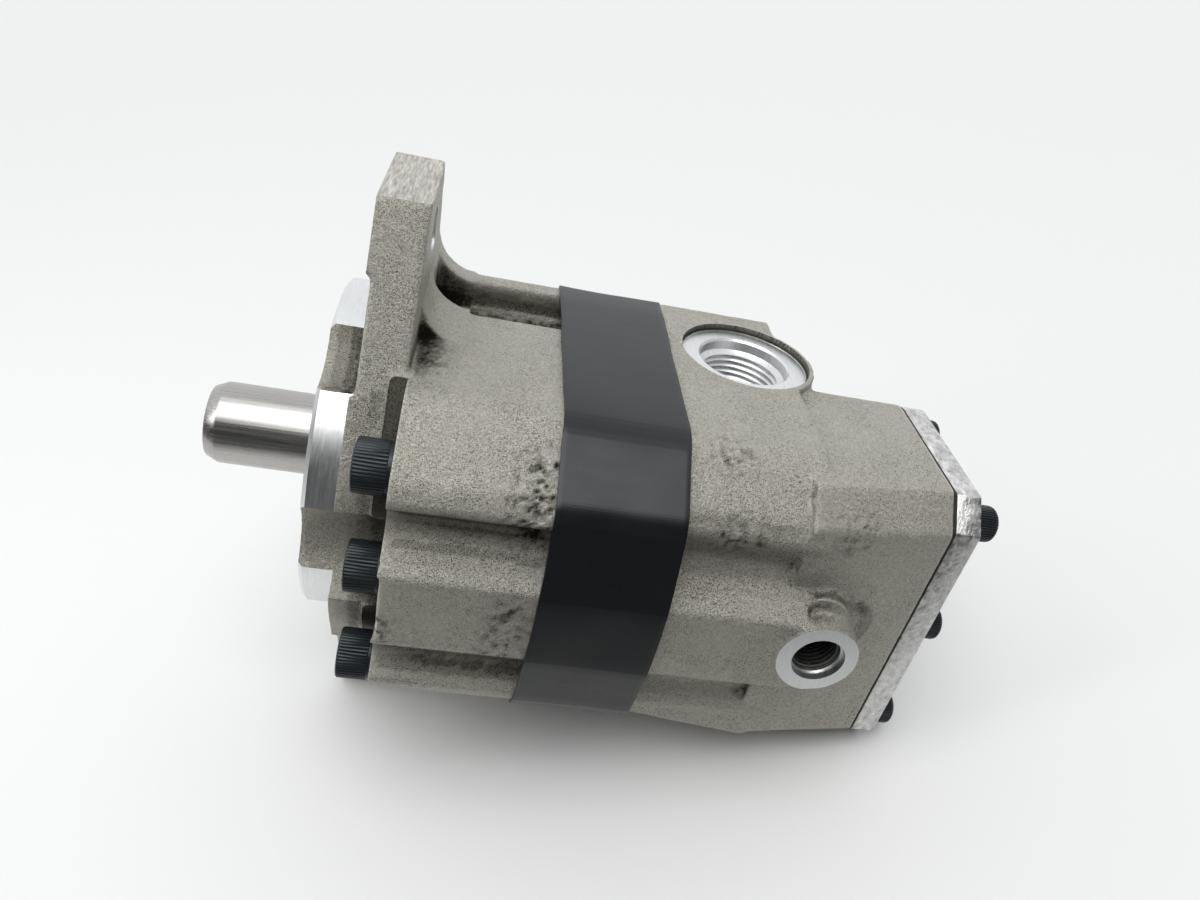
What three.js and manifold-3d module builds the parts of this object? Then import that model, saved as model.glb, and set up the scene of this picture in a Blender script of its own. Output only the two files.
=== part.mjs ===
// Hydraulic gear pump with a two-bolt mounting flange, as an assembly of its separate pieces.
// Millimetres. +X runs along the drive shaft from its free end to the rear cover, +Z points to the
// upper flange ear, and the driven gear lies at -Y of the drive gear. The origin is the centre of
// the shaft's free end face.
import * as THREE from "three";
import { mergeVertices } from "three/addons/utils/BufferGeometryUtils.js";
import Module from "manifold-3d";

const wasm = await Module();
wasm.setup();

// ---------- driving dimensions ----------

const FIT_GAP = 0.15; // between pieces that seat on each other
const ROUND_SIDES = 24; // facets of a plain round surface
const FINE_SIDES = 36; // facets where gear tips or seals run close
const HOLE_SIDES = 16;
const PILOT_SIDES = 60;

// mounting flange and pilot
const SHAFT_EXTENSION = 46; // free end to mounting face
const PILOT_RADIUS = 50.8;
const PILOT_HEIGHT = 9.7;
const PILOT_CHAMFER = 1.2;
const NOTCH_COUNT = 6; // cast scallops that interrupt the pilot
const NOTCH_RADIUS = 16.4;
const NOTCH_CENTRE = 62.2;
const FLANGE_THICKNESS = 14;
const HUB_RADIUS = 58;
const EAR_REACH = 87.4;
const EAR_HALF_WIDTH = 15.5;
const EAR_CORNER = 6;
const EAR_FILLET = 12;
const MOUNT_BOLT_SPACING = 146;
const MOUNT_HOLE_RADIUS = 7.15;

// housings, lengths along the shaft axis from the mounting face
const FRONT_HOUSING_LENGTH = 72;
const REAR_HOUSING_LENGTH = 90;
const SHOULDER_SETBACK = 36; // lobed part of the rear housing ends this far ahead of its rear face

// cross-section of the lobed castings
const BODY_HALF_HEIGHT = 48.8;
const NEAR_WALL = 7.6; // gear chamber to the near side of the rear block
const RIB_STANDOFF = 15.5; // near side of the rear block to the face of the side rib
const SIDE_RIB_HALF = 11.5;
const FRONT_RIDGE_INSET = 4.2; // face of the side rib to the bulge above and below it
const FRONT_RIDGE_Z = 30;
const REAR_RIDGE_INSET = 8;
const REAR_RIDGE_Z = 32;
const VALLEY_INSET = 11.2; // face of the side rib to the hollow beside it
const BODY_FAR = 50;
const TOP_RIB_OUTER = 35.5;
const TOP_RIB_INNER = 27.5;
const POCKET_DEPTH = 10;
const POCKET_NEAR = 7;
const REAR_BLOCK_FAR = 32;
const REAR_BLOCK_TOP = 45.8;
const REAR_BLOCK_BOTTOM = 50.2;
const TOP_EDGE_REACH = 17; // top edge of the body, beyond the driven gear's axis
const REAR_TAPER = 6.4; // the near side of the rear block leans out by this much at the shoulder
const CORNER_CUT = 8;
const FAR_CORNER_Y = -4;

// gears, shafts and bearings
const GEAR_MODULE = 3.2;
const GEAR_TEETH = 10;
const PRESSURE_ANGLE = (28 * Math.PI) / 180;
const TOOTH_THINNING = 0.13; // taken off each flank for backlash
const GEAR_WIDTH = 30;
const GEAR_START = 101; // from the mounting face to the front gear face
const SHAFT_RADIUS = 12.7;
const SHAFT_CHAMFER = 1.6;
const SHAFT_CHAMFER_LENGTH = 3.6;
const JOURNAL_RADIUS = 11;
const RUNNING_GAP = 0.12;
const BUSH_WALL = 1.6;
const FRONT_BLOCK_LENGTH = 36;
const REAR_BLOCK_LENGTH = 17;
const KEY_WIDTH = 6.35;
const KEY_LENGTH = 28;
const KEY_STANDOFF = 3.2;

// shaft seal and its retaining ring
const SEAL_RADIUS = 21;
const SEAL_WIDTH = 8;
const RING_WIDTH = 1.6;
const RING_GROOVE_DEPTH = 1.6;
const RING_SETBACK = 2.2;
const RING_BAND = 4.2;
const RING_SPLIT = 8;
const SEAL_BORE_DEPTH = 14;

// static seals
const PRESSURE_SEAL_SECTION = 2.6;
const SEAL_TRACK_INSET = 0.7; // bore of the two arcs of a pressure seal, inside the pitch radius
const GASKET_THICKNESS = 0.8;

// cap screws through the front housing and the cover screws
const TIE_SCREW_RADIUS = 4.75;
const TIE_HEAD_RADIUS = 7.15;
const TIE_HEAD_HEIGHT = 9.5;
const NEAR_TIE_CLEARANCE = 6.8; // gear chamber to the axis of the near cap screws
const NEAR_TIE_Z = 33;
const NEAR_TIE_LENGTH = 76;
const FAR_TIE_Y = 42;
const FAR_TIE_Z = 16;
const FAR_TIE_LENGTH = 76;
const COVER_SCREW_RADIUS = 3;
const COVER_HEAD_RADIUS = 5.2;
const COVER_HEAD_HEIGHT = 7.4;
const COVER_SCREW_LENGTH = 16;
const COVER_SCREW_INSET = 9.5;
const COVER_HOLE_SPARE = 2.5; // drilled past the end of a cover screw
const COVER_THICKNESS = 7.4;
const SCREW_HOLE_GAP = 0.4;

// joint sleeve
const SLEEVE_START = 54;
const SLEEVE_WIDTH = 34.5;
const SLEEVE_WALL = 1.2;

// ports
const LARGE_PORT_X = 113.8;
const LARGE_PORT_Y = 7;
const LARGE_PORT_RADIUS = 13.1;
const LARGE_SPOT_RADIUS = 20.7;
const LARGE_MOUTH_RADIUS = 14.2;
const LARGE_MOUTH_DEPTH = 3.5;
const LARGE_PORT_DEPTH = 21;
const PORT_FACE_SINK = 2.2; // machined port face below the body's top
const SMALL_PORT_X = 133;
const SMALL_PORT_Z = 1.5;
const SMALL_PORT_RADIUS = 6.6;
const SMALL_SPOT_RADIUS = 11.2;
const SMALL_MOUTH_RADIUS = 7.4;
const SMALL_MOUTH_DEPTH = 2.6;
const SMALL_PORT_DEPTH = 17;
const SMALL_PORT_STANDOFF = 0.7; // port face beyond the side rib
const PORT_PASSAGE_RADIUS = 7.5;
const GALLERY_RADIUS = 12; // cored gallery under the rear cover
const GALLERY_DEPTH = 8;

// dowels
const DOWEL_RADIUS = 4;
const DOWEL_LENGTH = 20;
const DOWEL_Z = 37;

// ---------- positions worked out from the dimensions ----------

const MOUNT_FACE = SHAFT_EXTENSION;
const FLANGE_BACK = MOUNT_FACE + FLANGE_THICKNESS;
const PILOT_FACE = MOUNT_FACE - PILOT_HEIGHT;
const JOINT_FACE = MOUNT_FACE + FRONT_HOUSING_LENGTH;
const REAR_START = JOINT_FACE + GASKET_THICKNESS + 2 * FIT_GAP;
const REAR_END = REAR_START + REAR_HOUSING_LENGTH;
const SHOULDER_X = REAR_END - SHOULDER_SETBACK;
const COVER_START = REAR_END + GASKET_THICKNESS + 2 * FIT_GAP;
const COVER_END = COVER_START + COVER_THICKNESS;
const PITCH_RADIUS = (GEAR_MODULE * GEAR_TEETH) / 2;
const GEAR_DISTANCE = 2 * PITCH_RADIUS;
const TIP_RADIUS = PITCH_RADIUS + GEAR_MODULE;
const CHAMBER_RADIUS = TIP_RADIUS + 0.2;
const DRIVEN_Y = -GEAR_DISTANCE;
const NEAR_TIE_Y = -(GEAR_DISTANCE + CHAMBER_RADIUS + NEAR_TIE_CLEARANCE);
const REAR_BLOCK_NEAR = GEAR_DISTANCE + CHAMBER_RADIUS + NEAR_WALL;
const BODY_NEAR = REAR_BLOCK_NEAR + RIB_STANDOFF;
const SMALL_PORT_FACE = BODY_NEAR + SMALL_PORT_STANDOFF;
const FRONT_RIDGE = [FRONT_RIDGE_INSET - BODY_NEAR, FRONT_RIDGE_Z];
const REAR_RIDGE = [REAR_RIDGE_INSET - BODY_NEAR, REAR_RIDGE_Z];
const GEAR_FRONT = MOUNT_FACE + GEAR_START;
const GEAR_BACK = GEAR_FRONT + GEAR_WIDTH;
const FRONT_BLOCK_BACK = GEAR_FRONT - FIT_GAP;
const FRONT_BLOCK_FRONT = FRONT_BLOCK_BACK - FRONT_BLOCK_LENGTH;
const REAR_BLOCK_FRONT = GEAR_BACK + FIT_GAP;
const REAR_BLOCK_BACK = REAR_BLOCK_FRONT + REAR_BLOCK_LENGTH;
const CHAMBER_BACK = REAR_BLOCK_BACK + FIT_GAP;
const CHAMBER_FRONT = FRONT_BLOCK_FRONT - FIT_GAP;
const BUSH_INNER = JOURNAL_RADIUS + RUNNING_GAP;
const BUSH_OUTER = BUSH_INNER + BUSH_WALL;
const SHAFT_STEP = FRONT_BLOCK_FRONT - 2;
const PORT_FACE_Z = BODY_HALF_HEIGHT - PORT_FACE_SINK;
const SLEEVE_END = MOUNT_FACE + SLEEVE_START + SLEEVE_WIDTH;
const RING_FRONT = PILOT_FACE + RING_SETBACK;
const SEAL_FRONT = RING_FRONT + RING_WIDTH + FIT_GAP;

// ---------- geometry helpers ----------

function solidOf(geometry) {
  geometry.deleteAttribute("normal");
  geometry.deleteAttribute("uv");
  const merged = mergeVertices(geometry, 1e-4);
  const mesh = new wasm.Mesh({
    numProp: 3,
    vertProperties: merged.attributes.position.array,
    triVerts: new Uint32Array(merged.index.array),
  });
  return new wasm.Manifold(mesh);
}

// Fillets the corners of a closed outline. Each corner is [y, z, radius].
function roundedShape(corners, arcSteps = 5) {
  const shape = new THREE.Shape();
  const points = [];
  corners.forEach(([y, z, radius = 0], i) => {
    const here = new THREE.Vector2(y, z);
    const before = corners[(i + corners.length - 1) % corners.length];
    const after = corners[(i + 1) % corners.length];
    const toBefore = new THREE.Vector2(before[0] - y, before[1] - z).normalize();
    const toAfter = new THREE.Vector2(after[0] - y, after[1] - z).normalize();
    if (!radius) {
      points.push(here);
      return;
    }
    const half = Math.acos(THREE.MathUtils.clamp(toBefore.dot(toAfter), -1, 1)) / 2;
    const bisector = toBefore.clone().add(toAfter).normalize();
    const centre = here.clone().addScaledVector(bisector, radius / Math.sin(half));
    const start = here.clone().addScaledVector(toBefore, radius / Math.tan(half)).sub(centre);
    const end = here.clone().addScaledVector(toAfter, radius / Math.tan(half)).sub(centre);
    let sweep = end.angle() - start.angle();
    if (sweep > Math.PI) sweep -= 2 * Math.PI;
    if (sweep < -Math.PI) sweep += 2 * Math.PI;
    for (let k = 0; k <= arcSteps; k++) {
      const angle = start.angle() + (sweep * k) / arcSteps;
      points.push(
        new THREE.Vector2(centre.x + radius * Math.cos(angle), centre.y + radius * Math.sin(angle)),
      );
    }
  });
  shape.setFromPoints(points);
  return shape;
}

// Extrudes a shape drawn in the YZ plane from x0 to x1.
function alongX(shape, x0, x1) {
  const geometry = new THREE.ExtrudeGeometry(shape, { depth: x1 - x0, bevelEnabled: false, steps: 1 });
  geometry.applyMatrix4(new THREE.Matrix4().set(0, 0, 1, x0, 1, 0, 0, 0, 0, 1, 0, 0, 0, 0, 0, 1));
  return solidOf(geometry);
}

// Extrudes a shape drawn in the XZ plane from y0 to y1.
function alongY(shape, y0, y1) {
  const geometry = new THREE.ExtrudeGeometry(shape, { depth: y1 - y0, bevelEnabled: false, steps: 1 });
  geometry.applyMatrix4(new THREE.Matrix4().set(1, 0, 0, 0, 0, 0, -1, y1, 0, 1, 0, 0, 0, 0, 0, 1));
  return solidOf(geometry);
}

// Extrudes a shape drawn in the XY plane from z0 to z1.
function alongZ(shape, z0, z1) {
  const geometry = new THREE.ExtrudeGeometry(shape, { depth: z1 - z0, bevelEnabled: false, steps: 1 });
  geometry.translate(0, 0, z0);
  return solidOf(geometry);
}

function circleShape(radius, cx = 0, cy = 0, sides = ROUND_SIDES) {
  const points = [];
  for (let i = 0; i < sides; i++) {
    const a = (2 * Math.PI * i) / sides;
    points.push(new THREE.Vector2(cx + radius * Math.cos(a), cy + radius * Math.sin(a)));
  }
  return new THREE.Shape(points);
}

// A stadium round both gear axes, in the YZ plane.
function gearOval(radius) {
  const shape = new THREE.Shape();
  shape.absarc(0, 0, radius, -Math.PI / 2, Math.PI / 2, false);
  shape.absarc(DRIVEN_Y, 0, radius, Math.PI / 2, (3 * Math.PI) / 2, false);
  return new THREE.Shape(shape.getPoints(8));
}

// A solid turned about the X axis from a profile of [x, radius] pairs that starts and ends on the
// axis, or closes on itself, and whose outside runs towards +X.
function turnedX(profile, y = 0, z = 0, sides = ROUND_SIDES) {
  const points = profile.map(([x, r]) => new THREE.Vector2(r, x));
  const geometry = new THREE.LatheGeometry(points, sides);
  geometry.applyMatrix4(new THREE.Matrix4().set(0, 1, 0, 0, 1, 0, 0, 0, 0, 0, -1, 0, 0, 0, 0, 1));
  geometry.translate(0, y, z);
  return solidOf(geometry);
}

const cylinderX = (radius, x0, x1, y = 0, z = 0, sides = ROUND_SIDES) =>
  alongX(circleShape(radius, y, z, sides), x0, x1);

// A ring about the X axis: a tube with flat ends.
function ringX(outer, inner, x0, x1, y = 0, z = 0) {
  return cylinderX(outer, x0, x1, y, z).subtract(cylinderX(inner, x0 - 1, x1 + 1, y, z));
}

function rectangle(x0, y0, x1, y1) {
  return new THREE.Shape([
    new THREE.Vector2(x0, y0),
    new THREE.Vector2(x1, y0),
    new THREE.Vector2(x1, y1),
    new THREE.Vector2(x0, y1),
  ]);
}

function meshOf(name, solid, material) {
  const data = solid.getMesh();
  const positions = new Float32Array(data.numVert * 3);
  for (let i = 0; i < data.numVert; i++) {
    positions.set(data.vertProperties.subarray(i * data.numProp, i * data.numProp + 3), i * 3);
  }
  const geometry = new THREE.BufferGeometry();
  geometry.setAttribute("position", new THREE.BufferAttribute(positions, 3));
  geometry.setIndex(new THREE.BufferAttribute(new Uint32Array(data.triVerts), 1));
  geometry.computeVertexNormals();
  const mesh = new THREE.Mesh(geometry, material);
  mesh.name = name;
  return mesh;
}

// ---------- materials ----------

const metal = (color, roughness, metalness = 0.9) =>
  new THREE.MeshStandardMaterial({ color, roughness, metalness });
const castAluminium = metal(0x8f8b82, 0.62, 0.75);
const machinedAluminium = metal(0xc9c9c6, 0.35);
const groundSteel = metal(0xb8b7b4, 0.25);
const blackOxide = metal(0x15171a, 0.45, 0.6);
const bronze = metal(0x9a6b3c, 0.4);
const blackRubber = new THREE.MeshStandardMaterial({ color: 0x26282a, roughness: 0.55, metalness: 0 });
const gasketFibre = new THREE.MeshStandardMaterial({ color: 0x2b2b29, roughness: 0.9, metalness: 0 });

// ---------- outlines ----------

// Half outline of the lobed casting, from the far side over the top to the near side rib.
function lobedHalf(sign, [ridgeY, ridgeZ]) {
  const top = BODY_HALF_HEIGHT;
  const floor = top - POCKET_DEPTH;
  return [
    [BODY_FAR, 24, 8],
    [BODY_FAR - 8, 36, 5],
    [TOP_RIB_OUTER, floor + 3, 3],
    [TOP_RIB_OUTER, top, 4],
    [TOP_RIB_INNER, top, 2],
    [TOP_RIB_INNER, floor, 3],
    [POCKET_NEAR - 1, floor, 3],
    [POCKET_NEAR - 2.5, top, 2.5],
    [-GEAR_DISTANCE - TOP_EDGE_REACH, top, 16],
    [ridgeY + 3, ridgeZ + 5.5, 10],
    [ridgeY, ridgeZ, 2],
    [VALLEY_INSET - BODY_NEAR, 24, 4],
    [VALLEY_INSET - 2 - BODY_NEAR, 18, 4],
    [-BODY_NEAR, SIDE_RIB_HALF, 2],
  ].map(([y, z, r]) => [y, sign * z, r]);
}

const lobedShape = (ridge = FRONT_RIDGE) =>
  roundedShape([...lobedHalf(1, ridge), ...lobedHalf(-1, ridge).reverse()], 2);

// Convex outline that a band pulled tight round the lobed casting takes, grown by an offset.
function sleeveShape(offset) {
  const outlines = [...lobedShape().getPoints(), ...lobedShape(REAR_RIDGE).getPoints()];
  const hull = convexHull(outlines);
  const grown = hull.map((point, i) => {
    const before = hull[(i + hull.length - 1) % hull.length];
    const after = hull[(i + 1) % hull.length];
    const into = point.clone().sub(before).normalize();
    const out = after.clone().sub(point).normalize();
    const normal = new THREE.Vector2(into.y + out.y, -into.x - out.x).normalize();
    const stretch = Math.sqrt((1 + into.dot(out)) / 2);
    return point.clone().addScaledVector(normal, offset / stretch);
  });
  return new THREE.Shape(grown);
}

// Convex hull of flat points, counter-clockwise, by the monotone chain.
function convexHull(points) {
  const sorted = [...points].sort((a, b) => a.x - b.x || a.y - b.y);
  const chain = (list) => {
    const kept = [];
    for (const p of list) {
      while (kept.length > 1) {
        const a = kept.at(-2);
        const b = kept.at(-1);
        if ((b.x - a.x) * (p.y - a.y) - (b.y - a.y) * (p.x - a.x) > 1e-6) break;
        kept.pop();
      }
      kept.push(p);
    }
    return kept.slice(0, -1);
  };
  return [...chain(sorted), ...chain(sorted.reverse())];
}

// Two-ear flange outline: a round hub with tangent sides running out to flat-ended ears.
function flangeShape() {
  const corner = new THREE.Vector2(EAR_HALF_WIDTH + 3, EAR_REACH);
  const distance = corner.length();
  const tangentAngle = Math.atan2(corner.y, corner.x) - Math.acos(HUB_RADIUS / distance);
  const corners = [];
  const hubArc = (from, to, steps) => {
    for (let i = 0; i <= steps; i++) {
      const a = from + ((to - from) * i) / steps;
      corners.push([HUB_RADIUS * Math.cos(a), HUB_RADIUS * Math.sin(a)]);
    }
  };
  hubArc(-tangentAngle, tangentAngle, 12);
  corners.push([corner.x, corner.y, EAR_CORNER], [-corner.x, corner.y, EAR_CORNER]);
  hubArc(Math.PI - tangentAngle, Math.PI + tangentAngle, 12);
  corners.push([-corner.x, -corner.y, EAR_CORNER], [corner.x, -corner.y, EAR_CORNER]);
  return roundedShape(corners, 4);
}

// Outline of the rear block and its cover.
function coverShape() {
  const near = -REAR_BLOCK_NEAR;
  const half = (sign, reach) =>
    [
      [REAR_BLOCK_FAR, 14, 5],
      [FAR_CORNER_Y, reach, 8],
      [near + CORNER_CUT, reach, 2],
      [near, reach - CORNER_CUT, 2],
    ].map(([y, z, r]) => [y, sign * z, r]);
  return roundedShape([...half(1, REAR_BLOCK_TOP), ...half(-1, REAR_BLOCK_BOTTOM).reverse()], 3);
}

// ---------- screw positions ----------

const nearTies = [NEAR_TIE_Z, 0, -NEAR_TIE_Z].map((z) => [NEAR_TIE_Y, z]);
const farTies = [FAR_TIE_Z, -FAR_TIE_Z].map((z) => [FAR_TIE_Y, z]);
const coverNearY = -(REAR_BLOCK_NEAR - COVER_SCREW_INSET);
const coverTopZ = REAR_BLOCK_TOP - COVER_SCREW_INSET;
const coverLowZ = COVER_SCREW_INSET - REAR_BLOCK_BOTTOM;
const coverScrews = [
  [coverNearY, coverTopZ],
  [coverNearY, (coverTopZ + coverLowZ) / 2],
  [coverNearY, coverLowZ],
  [FAR_CORNER_Y, coverTopZ],
  [FAR_CORNER_Y, coverLowZ],
  [REAR_BLOCK_FAR - 6.5, 0],
];
const dowels = [DOWEL_Z, -DOWEL_Z].map((z) => [-PITCH_RADIUS, z]);

// ---------- shared cuts ----------

function chamberCut(x0, x1) {
  const bore = (y) => cylinderX(CHAMBER_RADIUS, x0, x1, y, 0, FINE_SIDES);
  return bore(0).add(bore(DRIVEN_Y));
}

function holesCut(places, radius, x0, x1) {
  return places
    .map(([y, z]) => cylinderX(radius, x0, x1, y, z, HOLE_SIDES))
    .reduce((all, hole) => all.add(hole));
}

// ---------- front housing ----------

function frontHousing() {
  const flange = alongX(flangeShape(), MOUNT_FACE, FLANGE_BACK);
  const pilot = turnedX([
    [PILOT_FACE, 0],
    [PILOT_FACE, PILOT_RADIUS - PILOT_CHAMFER],
    [PILOT_FACE + PILOT_CHAMFER, PILOT_RADIUS],
    [MOUNT_FACE + 1, PILOT_RADIUS],
    [MOUNT_FACE + 1, 0],
  ], 0, 0, PILOT_SIDES);
  let solid = flange.add(pilot).add(alongX(lobedShape(), FLANGE_BACK - 1, JOINT_FACE));
  solid = solid.add(earFillets()).subtract(topPockets());
  for (let i = 0; i < NOTCH_COUNT; i++) {
    const a = (2 * Math.PI * i) / NOTCH_COUNT + Math.PI;
    const reach = i === 0 ? FLANGE_BACK : MOUNT_FACE;
    const y = NOTCH_CENTRE * Math.cos(a);
    const z = NOTCH_CENTRE * Math.sin(a);
    solid = solid.subtract(cylinderX(NOTCH_RADIUS, PILOT_FACE - 1, reach, y, z));
  }
  const behindBlend = FLANGE_BACK + EAR_FILLET;
  for (const sign of [1, -1]) {
    const z = (sign * MOUNT_BOLT_SPACING) / 2;
    solid = solid.subtract(cylinderX(MOUNT_HOLE_RADIUS, MOUNT_FACE - 1, behindBlend, 0, z, FINE_SIDES));
  }
  solid = solid.subtract(holesCut(nearTies, TIE_HEAD_RADIUS + 1, MOUNT_FACE - 1, FLANGE_BACK));
  solid = solid.subtract(
    holesCut(nearTies, TIE_SCREW_RADIUS + SCREW_HOLE_GAP, FLANGE_BACK - 1, JOINT_FACE + 1),
  );
  const farEngaged = FAR_TIE_LENGTH - (SHOULDER_X - REAR_START) + 6;
  solid = solid.subtract(
    holesCut(farTies, TIE_SCREW_RADIUS + FIT_GAP, JOINT_FACE - farEngaged, JOINT_FACE + 1),
  );
  solid = solid.subtract(shaftBores());
  solid = solid.subtract(chamberCut(CHAMBER_FRONT, JOINT_FACE + 1));
  return solid.subtract(
    holesCut(dowels, DOWEL_RADIUS + FIT_GAP, JOINT_FACE - DOWEL_LENGTH / 2 - FIT_GAP, JOINT_FACE + 1),
  );
}

// Concave fillets that blend the back of each ear into the top and bottom of the body.
function earFillets() {
  const base = BODY_HALF_HEIGHT - POCKET_DEPTH - 2;
  const profile = new THREE.Shape();
  profile.moveTo(FLANGE_BACK - 1, base);
  profile.lineTo(FLANGE_BACK + EAR_FILLET, base);
  const centreX = FLANGE_BACK + EAR_FILLET;
  const centreZ = BODY_HALF_HEIGHT + EAR_FILLET;
  profile.lineTo(centreX, BODY_HALF_HEIGHT);
  profile.absarc(centreX, centreZ, EAR_FILLET, -Math.PI / 2, -Math.PI, true);
  profile.lineTo(FLANGE_BACK - 1, centreZ);
  const shape = new THREE.Shape(profile.getPoints(6));
  const wide = alongY(shape, -46, TOP_RIB_OUTER);
  const upper = wide.intersect(alongX(flangeShape(), FLANGE_BACK - 1, FLANGE_BACK + EAR_FILLET + 1));
  return upper.add(upper.mirror([0, 0, 1]));
}

// Cast pockets that run up to the back of each ear, in line with the pocket of the lobed section.
function topPockets() {
  const floor = BODY_HALF_HEIGHT - POCKET_DEPTH;
  const openingEnd = FLANGE_BACK + EAR_FILLET + 1;
  const opening = rectangle(FLANGE_BACK + 1, POCKET_NEAR, openingEnd, TOP_RIB_INNER - 1);
  const upper = alongZ(opening, floor, BODY_HALF_HEIGHT + EAR_FILLET + 1);
  return upper.add(upper.mirror([0, 0, 1]));
}

// Seal pocket, ring groove and shaft clearance bore.
function shaftBores() {
  const groove = ringX(
    SEAL_RADIUS + RING_GROOVE_DEPTH + FIT_GAP,
    SEAL_RADIUS - 1,
    RING_FRONT - FIT_GAP,
    RING_FRONT + RING_WIDTH + FIT_GAP,
  );
  return cylinderX(SEAL_RADIUS + FIT_GAP, PILOT_FACE - 1, PILOT_FACE + SEAL_BORE_DEPTH)
    .add(groove)
    .add(cylinderX(SHAFT_RADIUS + 2, PILOT_FACE, CHAMBER_FRONT + 1));
}

// ---------- rear housing ----------

function rearHousing() {
  let solid = alongX(lobedShape(REAR_RIDGE), REAR_START, SHOULDER_X);
  solid = solid.add(taperedBlock()).add(smallPortBoss());
  const bossTop = BODY_HALF_HEIGHT;
  const bossBase = REAR_BLOCK_TOP - 20;
  const portX = MOUNT_FACE + LARGE_PORT_X;
  for (const sign of [1, -1]) {
    const disc = circleShape(LARGE_SPOT_RADIUS + 1.6, portX, LARGE_PORT_Y, FINE_SIDES);
    const strip = rectangle(SLEEVE_END + FIT_GAP, LARGE_PORT_Y - 2, SHOULDER_X, TOP_RIB_OUTER);
    const low = sign > 0 ? bossBase : -bossTop;
    const high = sign > 0 ? bossTop : -bossBase;
    solid = solid.add(alongZ(disc, low, high)).add(alongZ(strip, low, high));
  }
  solid = solid.subtract(largePortCut()).subtract(largePortCut().mirror([0, 0, 1]));
  solid = solid.subtract(smallPortCut());
  solid = solid.subtract(chamberCut(REAR_START - 1, CHAMBER_BACK));
  solid = solid.subtract(alongX(gearOval(GALLERY_RADIUS), REAR_END - GALLERY_DEPTH, REAR_END + 1));
  const nearEngaged = NEAR_TIE_LENGTH - (JOINT_FACE - FLANGE_BACK) + 5;
  solid = solid.subtract(
    holesCut(nearTies, TIE_SCREW_RADIUS + FIT_GAP, REAR_START - 1, REAR_START + nearEngaged),
  );
  solid = solid.subtract(
    holesCut(farTies, TIE_SCREW_RADIUS + SCREW_HOLE_GAP, REAR_START - 1, SHOULDER_X + 1),
  );
  solid = solid.subtract(
    holesCut(dowels, DOWEL_RADIUS + FIT_GAP, REAR_START - 1, REAR_START + DOWEL_LENGTH / 2 + FIT_GAP),
  );
  const engaged = COVER_SCREW_LENGTH - COVER_THICKNESS - GASKET_THICKNESS + COVER_HOLE_SPARE;
  return solid.subtract(
    holesCut(coverScrews, COVER_SCREW_RADIUS + FIT_GAP, REAR_END - engaged, REAR_END + 1),
  );
}

// The rear block; its near side leans out towards the shoulder to meet the bulge of the lobed part.
function taperedBlock() {
  const start = SHOULDER_X - 5;
  const options = { depth: REAR_END - start, bevelEnabled: false };
  const geometry = new THREE.ExtrudeGeometry(coverShape(), options);
  geometry.applyMatrix4(new THREE.Matrix4().set(0, 0, 1, start, 1, 0, 0, 0, 0, 1, 0, 0, 0, 0, 0, 1));
  const lean = (REAR_TAPER * (REAR_END - start)) / SHOULDER_SETBACK;
  const position = geometry.attributes.position;
  for (let i = 0; i < position.count; i++) {
    const atShoulder = position.getX(i) < start + 1;
    const nearSide = position.getY(i) < CORNER_CUT - REAR_BLOCK_NEAR + 1;
    if (atShoulder && nearSide) position.setY(i, position.getY(i) - lean);
  }
  return solidOf(geometry);
}

function smallPortBoss() {
  const x = MOUNT_FACE + SMALL_PORT_X;
  const cone = new THREE.LatheGeometry(
    [
      new THREE.Vector2(0, REAR_BLOCK_NEAR - 6),
      new THREE.Vector2(SMALL_SPOT_RADIUS + 6, REAR_BLOCK_NEAR - 6),
      new THREE.Vector2(SMALL_SPOT_RADIUS + 3.5, REAR_BLOCK_NEAR + 3),
      new THREE.Vector2(SMALL_SPOT_RADIUS, SMALL_PORT_FACE - 3),
      new THREE.Vector2(SMALL_SPOT_RADIUS, SMALL_PORT_FACE),
      new THREE.Vector2(0, SMALL_PORT_FACE),
    ],
    ROUND_SIDES,
  );
  cone.rotateX(Math.PI);
  cone.translate(x, 0, SMALL_PORT_Z);
  const ribOutline = rectangle(SHOULDER_X - 16, -SIDE_RIB_HALF, x, SIDE_RIB_HALF);
  return solidOf(cone).add(alongY(ribOutline, -BODY_NEAR, -REAR_BLOCK_NEAR + 19));
}

// A port drilled along +Y or +Z is a stepped bore: mouth, thread and the passage behind it.
function portBore(steps, sides = ROUND_SIDES) {
  const points = [new THREE.Vector2(0, steps[0][0])];
  steps.forEach(([height, radius]) => points.push(new THREE.Vector2(radius, height)));
  points.push(new THREE.Vector2(0, steps.at(-1)[0]));
  return new THREE.LatheGeometry(points, sides);
}

function largePortCut() {
  const x = MOUNT_FACE + LARGE_PORT_X;
  const bottom = PORT_FACE_Z - LARGE_PORT_DEPTH;
  const bore = portBore([
    [bottom, LARGE_PORT_RADIUS],
    [PORT_FACE_Z - LARGE_MOUTH_DEPTH - 1.8, LARGE_PORT_RADIUS],
    [PORT_FACE_Z - LARGE_MOUTH_DEPTH, LARGE_MOUTH_RADIUS],
    [PORT_FACE_Z, LARGE_MOUTH_RADIUS + 1],
    [PORT_FACE_Z, LARGE_SPOT_RADIUS],
    [BODY_HALF_HEIGHT + 3, LARGE_SPOT_RADIUS],
  ]);
  bore.rotateX(Math.PI / 2);
  bore.translate(x, LARGE_PORT_Y, 0);
  const start = new THREE.Vector3(x, LARGE_PORT_Y - 2, bottom + 5);
  const end = new THREE.Vector3(x, -PITCH_RADIUS, TIP_RADIUS - 12);
  return solidOf(bore).add(passage(start, end, PORT_PASSAGE_RADIUS));
}

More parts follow.
